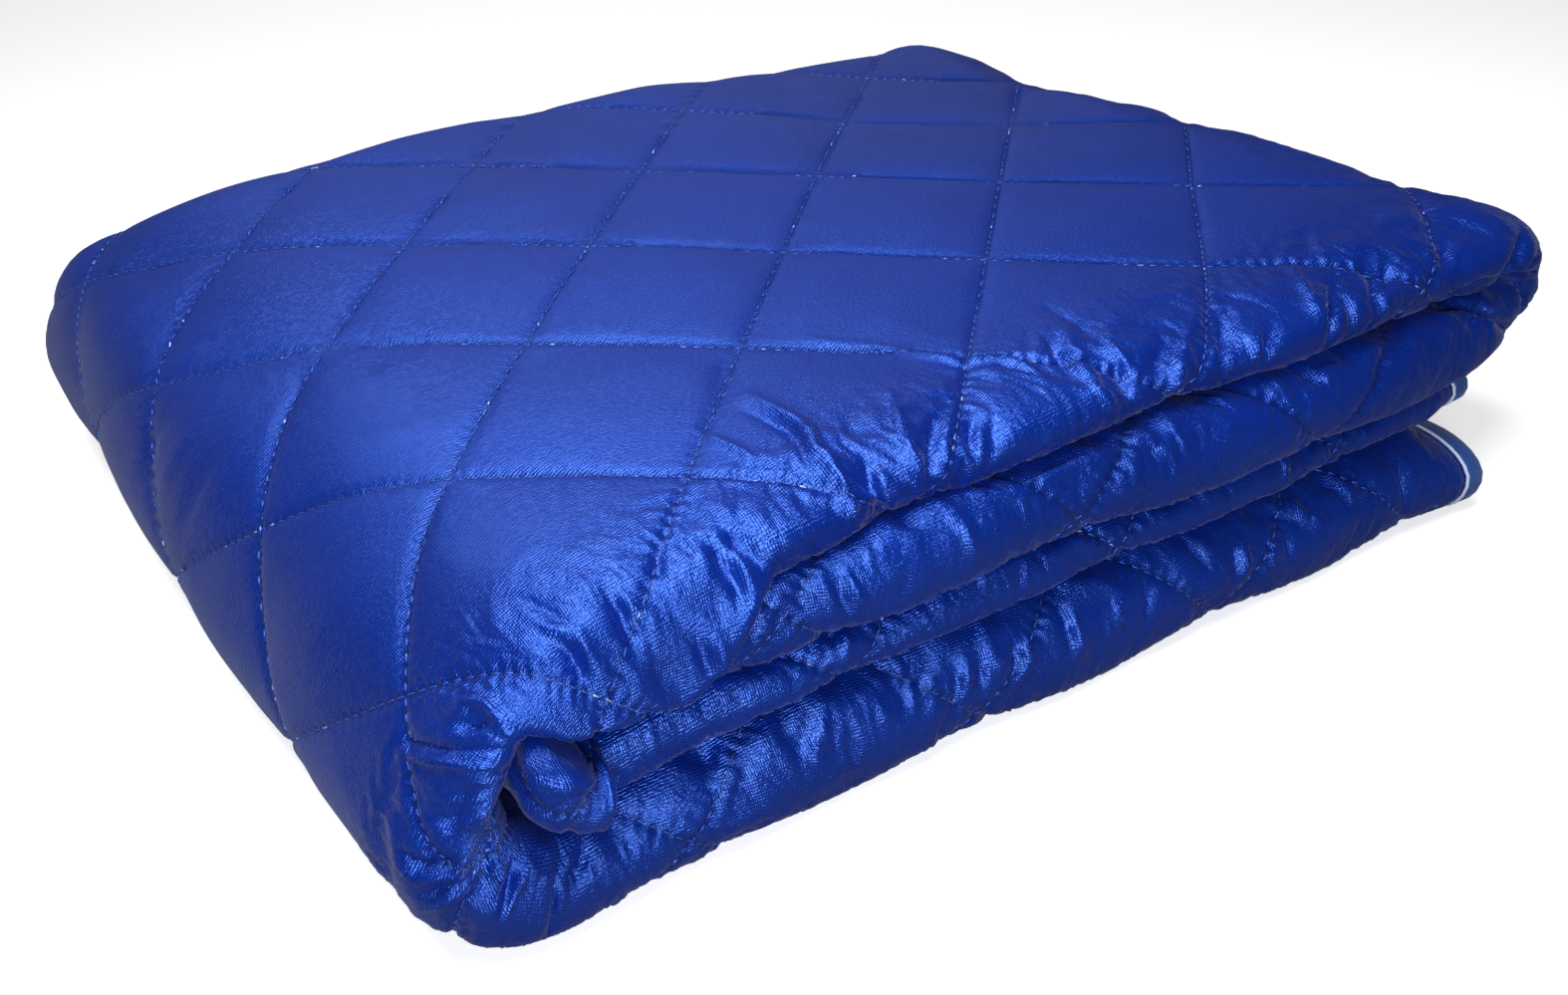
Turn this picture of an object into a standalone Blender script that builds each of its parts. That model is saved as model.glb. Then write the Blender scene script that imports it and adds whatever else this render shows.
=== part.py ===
# Folded quilted blanket: one thick quilt folded in four leaves, with a bound and piped hem on two of them.
# Metres, +Z up. The long folded fronts face -Y, the outer wrap faces -X and the two hems end at +X.

import math
from collections import namedtuple

import bmesh
import bpy

# Driving sizes
DIAMOND = 0.106            # diagonal of a quilting diamond, along X and along Y
STEP = DIAMOND / 4         # spacing of the points along and across the cloth
PUFF = 0.0030              # rise of a diamond's middle over its stitched edges
FLOOR = -0.108             # underside, below the level of the stitching on top
LAST_COLUMN = 12           # quilting columns across the flat of a leaf, in steps
FITTED_COLUMN = 9          # past this one the columns close up to meet the back edge
FRONT_ANGLES = (75, 52, 26, 0, -35, -68)
CROWN_RISE = 0.0035        # the stack is fuller in its middle than at its ends
CROWN_DROP_LEFT = 0.0070
CROWN_DROP_RIGHT = 0.0020
CROWN_MIDDLE = 0.205
CROWN_REACH = 0.16
BACK_SAG = 0.010           # the far corner at +X lies lower
FLARE = 0.016              # the upper leaves run out further to +X at the front
WRAP_DRAWN = 0.007         # the wrap is drawn in towards +X at the front corner
WRAP_FULL = 0.005          # and stands out to -X further back
WRAP_LIFTED = 0.014        # where its fullest line also lies higher
BACK_ROUND = 0.7           # the backs are rounded over a shorter reach than the fronts
HEM_INSET = 0.0018         # the cloth is pressed thin where the tape goes round it
TAPE_WIDTH = 0.0085
TAPE_OUTER = 0.0001        # depths under the full outline of the leaf
TAPE_INNER = 0.0014
CORD_WIDTH = 0.0013
CORD_OUTER = -0.0004
CLEAR = 0.0004             # space between a trim and its neighbours

# The cloth's path, seen from the front. along counts steps over the outer face, and is the
# quilting's own coordinate. outer and inner are the two faces of a leaf, front and back its
# ends across, outer_round and inner_round how far the rounding of an end reaches in.
Row = namedtuple(
    "Row",
    "leaf along outer_x outer_z inner_x inner_z front back outer_round inner_round",
)
PATH = [
    Row(*values)
    for values in (
        ("low", -19.15, 0.4210, -0.1080, 0.4210, -0.0800, -0.0660, 0.306, 0.012, 0.024),
        ("low", -18.79, 0.4115, -0.1080, 0.4115, -0.0785, -0.0650, 0.307, 0.012, 0.026),
        ("low", -18.00, 0.3905, -0.1080, 0.3905, -0.0735, -0.0610, 0.309, 0.012, 0.030),
        ("low", -15.00, 0.3110, -0.1080, 0.3110, -0.0700, -0.0570, 0.316, 0.012, 0.032),
        ("low", -11.00, 0.2050, -0.1080, 0.2050, -0.0672, -0.0510, 0.328, 0.012, 0.032),
        ("low", -7.50, 0.1120, -0.1080, 0.1120, -0.0680, -0.0450, 0.338, 0.012, 0.030),
        ("low", -6.00, 0.0725, -0.1080, 0.0725, -0.0722, -0.0440, 0.341, 0.012, 0.026),
        ("low", -5.00, 0.0460, -0.1080, 0.0480, -0.0730, -0.0430, 0.344, 0.012, 0.022),
        ("wrap", -4.00, 0.0195, -0.1080, 0.0290, -0.0710, -0.0430, 0.348, 0.016, 0.018),
        ("wrap", -3.00, -0.0035, -0.0995, 0.0185, -0.0620, -0.0420, 0.352, 0.020, 0.014),
        ("wrap", -2.00, -0.0130, -0.0755, 0.0150, -0.0520, -0.0400, 0.354, 0.022, 0.012),
        ("wrap", -1.00, -0.0065, -0.0510, 0.0160, -0.0400, -0.0390, 0.354, 0.024, 0.010),
        ("wrap", 0.00, 0.0070, -0.0280, 0.0215, -0.0300, -0.0380, 0.351, 0.028, 0.007),
        ("wrap", 1.00, 0.0275, -0.0120, 0.0330, -0.0240, -0.0370, 0.347, 0.032, 0.003),
        ("top", 2.00, 0.0530, -0.0035, 0.0530, -0.0228, -0.0370, 0.342, 0.034, 0.003),
        ("top", 4.00, 0.1060, -0.0005, 0.1060, -0.0200, -0.0355, 0.334, 0.034, 0.006),
        ("top", 8.00, 0.2120, 0.0000, 0.2120, -0.0185, -0.0385, 0.322, 0.036, 0.008),
        ("top", 12.00, 0.3180, 0.0010, 0.3180, -0.0190, -0.0455, 0.311, 0.036, 0.008),
        ("top", 15.00, 0.3975, 0.0035, 0.3975, -0.0200, -0.0490, 0.307, 0.034, 0.008),
        ("turn", 16.00, 0.4240, 0.0020, 0.4180, -0.0208, -0.0480, 0.305, 0.028, 0.010),
        ("turn", 16.60, 0.4435, -0.0080, 0.4230, -0.0216, -0.0450, 0.303, 0.024, 0.012),
        ("turn", 17.10, 0.4550, -0.0240, 0.4240, -0.0225, -0.0440, 0.303, 0.020, 0.012),
        ("turn", 17.60, 0.4520, -0.0390, 0.4230, -0.0234, -0.0470, 0.304, 0.016, 0.012),
        ("turn", 18.10, 0.4300, -0.0490, 0.4180, -0.0242, -0.0510, 0.306, 0.012, 0.016),
        ("middle", 19.00, 0.4030, -0.0515, 0.4030, -0.0240, -0.0550, 0.308, 0.010, 0.018),
        ("middle", 22.00, 0.3235, -0.0510, 0.3235, -0.0225, -0.0570, 0.314, 0.010, 0.018),
        ("middle", 26.00, 0.2175, -0.0475, 0.2175, -0.0205, -0.0490, 0.324, 0.010, 0.016),
        ("middle", 30.00, 0.1115, -0.0468, 0.1115, -0.0215, -0.0430, 0.334, 0.010, 0.008),
        ("middle", 32.00, 0.0585, -0.0470, 0.0585, -0.0238, -0.0385, 0.338, 0.010, 0.003),
        ("tuck", 32.60, 0.0470, -0.0472, 0.0370, -0.0270, -0.0390, 0.340, 0.010, 0.005),
        ("tuck", 33.10, 0.0452, -0.0476, 0.0250, -0.0345, -0.0400, 0.340, 0.010, 0.010),
        ("tuck", 33.60, 0.0446, -0.0482, 0.0208, -0.0460, -0.0400, 0.340, 0.010, 0.012),
        ("tuck", 34.10, 0.0452, -0.0488, 0.0245, -0.0585, -0.0400, 0.340, 0.010, 0.012),
        ("tuck", 34.60, 0.0470, -0.0492, 0.0365, -0.0670, -0.0400, 0.340, 0.010, 0.010),
        ("inner", 35.20, 0.0585, -0.0493, 0.0585, -0.0705, -0.0400, 0.338, 0.010, 0.009),
        ("inner", 37.20, 0.1115, -0.0490, 0.1115, -0.0655, -0.0405, 0.333, 0.010, 0.008),
        ("inner", 41.20, 0.2175, -0.0495, 0.2175, -0.0650, -0.0460, 0.322, 0.010, 0.008),
        ("inner", 45.20, 0.3235, -0.0525, 0.3235, -0.0675, -0.0500, 0.312, 0.010, 0.008),
        ("inner", 48.20, 0.4030, -0.0533, 0.4030, -0.0682, -0.0500, 0.305, 0.010, 0.008),
        ("inner", 48.60, 0.4135, -0.0534, 0.4135, -0.0683, -0.0500, 0.304, 0.009, 0.008),
        ("inner", 48.96, 0.4230, -0.0535, 0.4230, -0.0684, -0.0500, 0.303, 0.008, 0.008),
    )
]
EXTRA_STATIONS = (-3.5, -2.5, -1.5, -0.5, 0.5, 1.5, 16.6, 17.1, 17.6, 32.6, 33.1, 33.6, 34.1, 34.6)
QUILTED_LEAVES = ("wrap", "top", "turn")
FLARED_LEAVES = ("top", "turn", "middle")

# The two hems: where a hem ends on the path, which way its leaf runs to it, and its name.
Hem = namedtuple("Hem", "name end inward")
HEMS = (Hem("lower", -19.15, 1), Hem("upper", 48.96, -1))
TRIM_STEPS = (TAPE_WIDTH + CORD_WIDTH + 3 * CLEAR) / STEP

BLUE = (0.012, 0.045, 0.42, 1.0)
TAPE_BLUE = (0.020, 0.075, 0.40, 1.0)
WHITE = (0.80, 0.83, 0.88, 1.0)


# Start from an empty scene
for old in list(bpy.data.objects):
    bpy.data.objects.remove(old, do_unlink=True)


def smooth(share):
    share = min(max(share, 0.0), 1.0)
    return share * share * (3 - 2 * share)


def between(before, start, end, after, share):
    """Cubic through start and end whose slopes come from the rows beside them."""
    span = (end[0] - start[0]) or 1.0
    low = (end[1] - before[1]) / ((end[0] - before[0]) or 1.0) * span
    high = (after[1] - start[1]) / ((after[0] - start[0]) or 1.0) * span
    square = share * share
    cube = square * share
    return (
        (2 * cube - 3 * square + 1) * start[1]
        + (cube - 2 * square + share) * low
        + (3 * square - 2 * cube) * end[1]
        + (cube - square) * high
    )


def row_at(along):
    """The path's row at any place along it."""
    last = len(PATH) - 1
    index = 0
    while index < last - 1 and along >= PATH[index + 1].along:
        index += 1
    start, end = PATH[index], PATH[index + 1]
    before, after = PATH[max(index - 1, 0)], PATH[min(index + 2, last)]
    share = (along - start.along) / (end.along - start.along)
    values = [
        between(
            (before.along, before[column]),
            (start.along, start[column]),
            (end.along, end[column]),
            (after.along, after[column]),
            share,
        )
        for column in range(2, len(Row._fields))
    ]
    return Row(start.leaf, along, *values)


def puff(along, across):
    """Rise of the quilting between its two sets of stitched lines, which ends where the hems start."""
    if not HEMS[0].end + TRIM_STEPS < along < HEMS[1].end - TRIM_STEPS:
        return 0.0
    rising = math.sin(math.pi * (along * STEP + across) / DIAMOND)
    falling = math.sin(math.pi * (along * STEP - across) / DIAMOND)
    return PUFF * math.sqrt(abs(rising * falling))


def settle(leaf, x, y, z):
    """The whole stack sags towards its ends, and its upper leaves flare at the front."""
    height = min(max((z - FLOOR) / -FLOOR, 0.0), 1.0)
    drop = CROWN_DROP_LEFT if x < CROWN_MIDDLE else CROWN_DROP_RIGHT
    crown = CROWN_RISE - drop * min(((x - CROWN_MIDDLE) / CROWN_REACH) ** 2, 1.6)
    crown -= BACK_SAG * smooth((x - 0.25) / 0.15) * smooth((y - 0.08) / 0.15)
    at_left = smooth((0.06 - x) / 0.06)
    drawn = WRAP_DRAWN * smooth((0.07 - y) / 0.11) - WRAP_FULL * smooth((y - 0.07) / 0.10)
    x += drawn * at_left
    z += WRAP_LIFTED * at_left * smooth((y - 0.10) / 0.16) * math.sin(math.pi * height)
    if leaf in FLARED_LEAVES:
        x += FLARE * smooth((0.05 - y) / 0.09) * smooth((x - 0.25) / 0.20)
    return x, y, z + crown * smooth(height)


def section(row, inset):
    """The closed outline of a leaf across the cloth, pressed in by inset all round."""
    middle_x = (row.outer_x + row.inner_x) / 2
    middle_z = (row.outer_z + row.inner_z) / 2
    half_x = (row.outer_x - row.inner_x) / 2
    half_z = (row.outer_z - row.inner_z) / 2
    half = math.hypot(half_x, half_z)
    keep = (half - inset) / half
    front, back = row.front + inset, row.back - inset
    quilted = row.leaf in QUILTED_LEAVES
    outline = []

    def column_y(column, reach):
        if column <= FITTED_COLUMN:
            return column * STEP
        share = (column - FITTED_COLUMN) / (LAST_COLUMN - FITTED_COLUMN)
        return FITTED_COLUMN * STEP + share * (back - reach - FITTED_COLUMN * STEP)

    def place(y, rise, out_across, weight, across):
        lift = weight * puff(row.along, across)
        height = keep * rise + lift * rise / half
        x = middle_x + half_x * height
        z = middle_z + half_z * height
        y += lift * out_across
        outline.append(settle(row.leaf, x, y, max(z, FLOOR)))

    def rounded(edge, side, angles):
        for degrees in angles:
            angle = math.radians(degrees)
            reach = row.outer_round if degrees > 0 else row.inner_round
            reach *= 1.0 if side < 0 else BACK_ROUND
            flat = 0.0 if side < 0 else column_y(LAST_COLUMN, reach)
            y = edge - side * reach * (1 - math.cos(angle))
            travelled = side * (abs(edge - flat) * (0.55 + 0.45 * (1 - degrees / 90)))
            shown = 1.0 if quilted or degrees < 60 else 0.3
            place(y, math.sin(angle), side * math.cos(angle), shown, flat + travelled)

    for column in range(LAST_COLUMN, -1, -1):
        floor_side = row.outer_z < FLOOR + 0.004
        shown = 1.0 if quilted and not floor_side else 0.0
        y = column_y(column, row.outer_round * BACK_ROUND)
        place(y, 1.0, 0.0, shown, y)
    rounded(front, -1, FRONT_ANGLES)
    for column in range(0, LAST_COLUMN + 1, 2):
        y = column_y(column, row.inner_round * BACK_ROUND)
        place(y, -1.0, 0.0, 0.0, y)
    rounded(back, 1, tuple(reversed(FRONT_ANGLES)))
    return outline


def material(name, colour, roughness):
    made = bpy.data.materials.new(name)
    made.use_nodes = True
    shader = made.node_tree.nodes["Principled BSDF"]
    shader.inputs["Base Color"].default_value = colour
    shader.inputs["Roughness"].default_value = roughness
    return made


def finished(name, work, surface):
    bmesh.ops.recalc_face_normals(work, faces=work.faces[:])
    mesh = bpy.data.meshes.new(name)
    work.to_mesh(mesh)
    work.free()
    mesh.materials.append(surface)
    made = bpy.data.objects.new(name, mesh)
    bpy.context.scene.collection.objects.link(made)
    return made


def skin(work, near, far, station, other):
    """Two triangles for each quad between two outlines, split along the stitching."""
    count = len(near)
    for index in range(count):
        after = (index + 1) % count
        column = LAST_COLUMN - index
        rising = round(station - column) % 4 == 0 or round(other - column + 1) % 4 == 0
        if rising:
            work.faces.new((near[index], near[after], far[index]))
            work.faces.new((near[after], far[after], far[index]))
        else:
            work.faces.new((near[index], near[after], far[after]))
            work.faces.new((near[index], far[after], far[index]))


def stations():
    """Places along the path that get an outline, with the pressed hems at its two ends."""
    first, last = HEMS[0].end, HEMS[1].end
    shoulders = (first + TRIM_STEPS - 0.001, last - TRIM_STEPS + 0.001)
    places = [(first, HEM_INSET), (shoulders[0] - 0.02, HEM_INSET), (shoulders[0], 0.0)]
    inside = [float(step) for step in range(-18, 33)] + [float(step) + 0.2 for step in range(35, 49)]
    inside += [extra for extra in EXTRA_STATIONS if extra not in inside]
    skipped = (17.0, 18.0)
    places += [(along, 0.0) for along in sorted(inside) if along not in skipped]
    places += [(shoulders[1], 0.0), (shoulders[1] + 0.02, HEM_INSET), (last, HEM_INSET)]
    return places


def blanket(surface):
    work = bmesh.new()
    rings = []
    for along, inset in stations():
        outline = section(row_at(along), inset)
        rings.append((along, [work.verts.new(point) for point in outline]))
    for (station, near), (other, far) in zip(rings, rings[1:]):
        skin(work, near, far, station, other)
    work.faces.new(tuple(reversed(rings[0][1])))
    work.faces.new(tuple(rings[-1][1]))
    return finished("blanket", work, surface)


def sleeve(name, start, end, outer, inner, surface):
    """A flat band sewn round a hem: a short tube between two depths in the cloth's outline."""
    work = bmesh.new()
    loops = []
    for along, inset in ((start, outer), (end, outer), (end, inner), (start, inner)):
        outline = section(row_at(along), inset)
        loops.append([work.verts.new(point) for point in outline])
    for near, far in zip(loops, loops[1:] + loops[:1]):
        count = len(near)
        for index in range(count):
            after = (index + 1) % count
            work.faces.new((near[index], near[after], far[after], far[index]))
    return finished(name, work, surface)


# The cloth, then the trims of each hem from its cut end inwards
cloth = blanket(material("quilted_cloth", BLUE, 0.38))
tape_surface = material("hem_tape", TAPE_BLUE, 0.6)
cord_surface = material("hem_cord", WHITE, 0.6)
for hem in HEMS:
    tape_end = hem.end + hem.inward * TAPE_WIDTH / STEP
    cord_start = tape_end + hem.inward * CLEAR / STEP
    cord_end = cord_start + hem.inward * CORD_WIDTH / STEP
    sleeve("binding_" + hem.name, hem.end, tape_end, TAPE_OUTER, TAPE_INNER, tape_surface)
    sleeve("piping_" + hem.name, cord_start, cord_end, CORD_OUTER, TAPE_INNER, cord_surface)

# Centre the whole on its own box, standing on the ground
pieces = [piece for piece in bpy.context.scene.collection.objects if piece.type == "MESH"]
corners = [vertex.co.copy() for piece in pieces for vertex in piece.data.vertices]
shift = [
    -(min(corner[axis] for corner in corners) + max(corner[axis] for corner in corners)) / 2
    for axis in (0, 1)
]
shift.append(-min(corner[2] for corner in corners))
for piece in pieces:
    for vertex in piece.data.vertices:
        vertex.co.x += shift[0]
        vertex.co.y += shift[1]
        vertex.co.z += shift[2]
print("moved from quilting coordinates by", [round(value, 5) for value in shift])
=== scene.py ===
# %% [markdown]
# # A folded, quilted picnic blanket
#
# The blanket is one thick quilt of royal-blue taffeta, stitched in diamonds and folded into four
# leaves. It could be sculpted as one lump, but then the stitching would stop at each fold. Here
# it is cut flat, as a sewer would, and every point of the flat cloth is then carried to its place
# in the fold, so the diamonds run on round every turn.

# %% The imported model
import math
from collections import namedtuple

import bmesh
import bpy
import numpy as np
from mathutils import Matrix, Vector
from mathutils import noise as noise_at
from mathutils.bvhtree import BVHTree
from mathutils.geometry import barycentric_transform


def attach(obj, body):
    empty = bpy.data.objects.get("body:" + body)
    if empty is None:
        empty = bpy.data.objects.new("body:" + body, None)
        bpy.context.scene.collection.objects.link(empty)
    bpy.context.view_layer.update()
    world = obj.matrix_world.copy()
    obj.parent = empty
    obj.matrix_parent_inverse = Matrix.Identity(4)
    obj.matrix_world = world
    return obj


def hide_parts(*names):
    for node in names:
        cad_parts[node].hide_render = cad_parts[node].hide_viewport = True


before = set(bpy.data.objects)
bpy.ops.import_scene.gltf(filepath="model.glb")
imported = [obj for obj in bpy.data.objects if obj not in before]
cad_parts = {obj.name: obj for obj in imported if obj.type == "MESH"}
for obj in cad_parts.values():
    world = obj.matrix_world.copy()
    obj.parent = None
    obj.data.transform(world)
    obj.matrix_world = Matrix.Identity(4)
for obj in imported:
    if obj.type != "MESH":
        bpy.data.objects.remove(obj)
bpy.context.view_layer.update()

# %% [markdown]
# ## The path of the fold
#
# Seen from the front, the cloth runs from the lower hem along the ground, up round the left
# wrap, over the top, round the right turn, back as the middle leaf, down the hidden tuck and out
# again as the thin inner leaf. The path could be a curve object, but a leaf also has a thickness
# and rounded ends that change along it. A short table of named columns holds all of that, and it
# is the same table that the solid model was made from.

# %% The table of the path
MM = 0.001
DIAMOND = 0.106               # from one stitched line to the next, along the path
STEP = DIAMOND / 4
FLOOR = -0.108
SHIFT = Vector((-0.2251, -0.14482, 0.108))
# the place along the path is in steps of the quilting, all the other columns in millimetres
COLUMNS = "along outer_x outer_z inner_x inner_z front back outer_round inner_round"
Row = namedtuple("Row", COLUMNS)
PATH = np.array([
    (-19.15, 421, -108, 421, -80, -66, 306, 12, 24),
    (-18.79, 411.5, -108, 411.5, -78.5, -65, 307, 12, 26),
    (-18.00, 390.5, -108, 390.5, -73.5, -61, 309, 12, 30),
    (-15.00, 311, -108, 311, -70, -57, 316, 12, 32),
    (-11.00, 205, -108, 205, -67.2, -51, 328, 12, 32),
    (-7.50, 112, -108, 112, -68, -45, 338, 12, 30),
    (-6.00, 72.5, -108, 72.5, -72.2, -44, 341, 12, 26),
    (-5.00, 46, -108, 48, -73, -43, 344, 12, 22),
    (-4.00, 19.5, -108, 29, -71, -43, 348, 16, 18),
    (-3.00, -3.5, -99.5, 18.5, -62, -42, 352, 20, 14),
    (-2.00, -13, -75.5, 15, -52, -40, 354, 22, 12),
    (-1.00, -6.5, -51, 16, -40, -39, 354, 24, 10),
    (0.00, 7, -28, 21.5, -30, -38, 351, 28, 7),
    (1.00, 27.5, -12, 33, -24, -37, 347, 32, 3),
    (2.00, 53, -3.5, 53, -22.8, -37, 342, 34, 3),
    (4.00, 106, -0.5, 106, -20, -35.5, 334, 34, 6),
    (8.00, 212, 0, 212, -18.5, -38.5, 322, 36, 8),
    (12.00, 318, 1, 318, -19, -45.5, 311, 36, 8),
    (15.00, 397.5, 3.5, 397.5, -20, -49, 307, 34, 8),
    (16.00, 424, 2, 418, -20.8, -48, 305, 28, 10),
    (16.60, 443.5, -8, 423, -21.6, -45, 303, 24, 12),
    (17.10, 455, -24, 424, -22.5, -44, 303, 20, 12),
    (17.60, 452, -39, 423, -23.4, -47, 304, 16, 12),
    (18.10, 430, -49, 418, -24.2, -51, 306, 12, 16),
    (19.00, 403, -51.5, 403, -24, -55, 308, 10, 18),
    (22.00, 323.5, -51, 323.5, -22.5, -57, 314, 10, 18),
    (26.00, 217.5, -47.5, 217.5, -20.5, -49, 324, 10, 16),
    (30.00, 111.5, -46.8, 111.5, -21.5, -43, 334, 10, 8),
    (32.00, 58.5, -47, 58.5, -23.8, -38.5, 338, 10, 3),
    (32.60, 47, -47.2, 37, -27, -39, 340, 10, 5),
    (33.10, 45.2, -47.6, 25, -34.5, -40, 340, 10, 10),
    (33.60, 44.6, -48.2, 20.8, -46, -40, 340, 10, 12),
    (34.10, 45.2, -48.8, 24.5, -58.5, -40, 340, 10, 12),
    (34.60, 47, -49.2, 36.5, -67, -40, 340, 10, 10),
    (35.20, 58.5, -49.3, 58.5, -70.5, -40, 338, 10, 9),
    (37.20, 111.5, -49, 111.5, -65.5, -40.5, 333, 10, 8),
    (41.20, 217.5, -49.5, 217.5, -65, -46, 322, 10, 8),
    (45.20, 323.5, -52.5, 323.5, -67.5, -50, 312, 10, 8),
    (48.20, 403, -53.3, 403, -68.2, -50, 305, 10, 8),
    (48.60, 413.5, -53.4, 413.5, -68.3, -50, 304, 9, 8),
    (48.96, 423, -53.5, 423, -68.4, -50, 303, 8, 8),
])
PATH[:, 1:] /= 1000
FIRST, LAST = PATH[0, 0], PATH[-1, 0]


def path_row(along):
    """The row at any place along the path, by a cubic between the rows beside it."""
    last = len(PATH) - 1
    index = min(max(int(np.searchsorted(PATH[:, 0], along, side="right")) - 1, 0), last - 1)
    start, end = PATH[index], PATH[index + 1]
    before, after = PATH[max(index - 1, 0)], PATH[min(index + 2, last)]
    span = end[0] - start[0]
    share = (along - start[0]) / span
    low = (end - before) / (end[0] - before[0]) * span
    high = (after - start) / (after[0] - start[0]) * span
    square, cube = share * share, share ** 3
    row = (
        (2 * cube - 3 * square + 1) * start
        + (cube - 2 * square + share) * low
        + (3 * square - 2 * cube) * end
        + (cube - square) * high
    )
    return Row(along, *row[1:])


print("the path has", len(PATH), "rows and", round((LAST - FIRST) * STEP, 3), "m of cloth")

# %% [markdown]
# ## Round a leaf
#
# Each leaf is the quilt doubled, with a soft fold in front and behind. Going once round it takes
# in half of the inner face, the back fold, the outer face, the front fold and the other half of
# the inner face. A lofted curve could do this, but the stitching needs to know how far across the
# cloth each point lies. So the way round is measured on the spot, and that length is kept as the
# second coordinate of the cloth.

# %% Once round a leaf
INNER_HALF, BACK_FOLD, OUTER_FACE, FRONT_FOLD = 6, 2, 12, 4
AROUND = 2 * INNER_HALF + BACK_FOLD + OUTER_FACE + FRONT_FOLD
BACK_START = INNER_HALF
OUTER_START = BACK_START + BACK_FOLD
FRONT_START = OUTER_START + OUTER_FACE
INNER_START = FRONT_START + FRONT_FOLD
FITTED_COLUMN = 9
BACK_ROUND = 0.7              # the fold behind reaches this share of the one in front
ARC = np.radians(np.linspace(90, -90, 61))


def fold_line(edge, side, row, flat_outer, flat_inner, trim):
    """A fold's outline, outer to inner face: its y, its height and its length so far."""
    reach = np.where(ARC > 0, row.outer_round, row.inner_round)
    reach = reach * (1.0 if side < 0 else BACK_ROUND)
    y = np.concatenate(([flat_outer], edge - side * reach * (1 - np.cos(ARC)), [flat_inner]))
    rise = np.concatenate(([1.0], np.sin(ARC), [-1.0]))
    length = np.concatenate(([0.0], np.cumsum(np.hypot(np.diff(y), np.diff(rise) * trim))))
    return y, rise, length


# %% Faces and folds together
def round_leaf(row, turn, inset=0.0):
    """Where the points at turn lie round a leaf: x, y, z and the cloth's coordinate across."""
    half_x, half_z = (row.outer_x - row.inner_x) / 2, (row.outer_z - row.inner_z) / 2
    half = math.hypot(half_x, half_z)
    keep = (half - inset) / half
    front, back = row.front + inset, row.back - inset
    back_outer = back - row.outer_round * BACK_ROUND
    back_inner = back - row.inner_round * BACK_ROUND

    def flat_y(column, end):
        fitted = FITTED_COLUMN * STEP
        share = (column - FITTED_COLUMN) / (OUTER_FACE - FITTED_COLUMN)
        return np.where(column <= FITTED_COLUMN, column * STEP, fitted + share * (end - fitted))

    front_y, front_rise, front_length = fold_line(front, -1, row, 0.0, 0.0, half * keep)
    back_y, back_rise, back_length = fold_line(back, 1, row, back_outer, back_inner, half * keep)
    y, rise, across = np.zeros_like(turn), np.zeros_like(turn), np.zeros_like(turn)
    on_start = turn < BACK_START
    on_back = (turn >= BACK_START) & (turn < OUTER_START)
    on_outer = (turn >= OUTER_START) & (turn < FRONT_START)
    on_front = (turn >= FRONT_START) & (turn < INNER_START)
    on_end = turn >= INNER_START
    y[on_start] = flat_y(INNER_HALF + turn[on_start], back_inner)
    rise[on_start] = -1.0
    across[on_start] = back_outer + back_length[-1] + back_inner - y[on_start]
    travelled = (OUTER_START - turn[on_back]) / BACK_FOLD * back_length[-1]
    y[on_back] = np.interp(travelled, back_length, back_y)
    rise[on_back] = np.interp(travelled, back_length, back_rise)
    across[on_back] = back_outer + travelled
    y[on_outer] = flat_y(FRONT_START - turn[on_outer], back_outer)
    rise[on_outer] = 1.0
    across[on_outer] = y[on_outer]
    travelled = (turn[on_front] - FRONT_START) / FRONT_FOLD * front_length[-1]
    y[on_front] = np.interp(travelled, front_length, front_y)
    rise[on_front] = np.interp(travelled, front_length, front_rise)
    across[on_front] = -travelled
    y[on_end] = flat_y(turn[on_end] - INNER_START, back_inner)
    rise[on_end] = -1.0
    across[on_end] = -front_length[-1] - y[on_end]
    x = (row.outer_x + row.inner_x) / 2 + half_x * keep * rise
    z = (row.outer_z + row.inner_z) / 2 + half_z * keep * rise
    return x, y, z, across


cloth_across = round_leaf(path_row(0.0), np.linspace(0, AROUND, 300, endpoint=False))[3]
print("once round the wrap takes", round(float(np.ptp(cloth_across)), 3), "m of cloth")

# %% [markdown]
# ## How the stack settles
#
# A folded quilt is never square: it is fuller in its middle, the back corner sags, the wrap is
# drawn in at the front, and the upper leaves run out further at the front right. These could be
# proportional edits by hand, but the solid model has them as sizes, so the same sizes bend the
# fine cloth here.

# %% Settling
CROWN_RISE, CROWN_DROP_LEFT, CROWN_DROP_RIGHT = 0.0035, 0.0070, 0.0020
CROWN_MIDDLE, CROWN_REACH = 0.205, 0.16
BACK_SAG, FLARE = 0.010, 0.016
WRAP_DRAWN, WRAP_FULL, WRAP_LIFTED = 0.007, 0.005, 0.014
FLARED = (2.0, 32.6)
# where each of them starts, and the length over which it grows
SAG_X, SAG_Y = (0.25, 0.15), (0.08, 0.15)
DRAWN_Y, FULL_Y, LIFTED_Y = (0.07, 0.11), (0.07, 0.10), (0.10, 0.16)
WRAP_ENDS = 0.06
FLARE_X, FLARE_Y = (0.25, 0.20), (0.05, 0.09)


def smooth(share):
    share = np.clip(share, 0.0, 1.0)
    return share * share * (3 - 2 * share)


def growing(value, start, length):
    return smooth((value - start) / length)


def fading(value, start, length):
    return smooth((start - value) / length)


def window(value, rise, fall):
    """1 between two soft edges: each edge is (where it starts, where it ends)."""
    up = smooth((value - rise[0]) / (rise[1] - rise[0]))
    return up * smooth((fall[1] - value) / (fall[1] - fall[0]))


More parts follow.
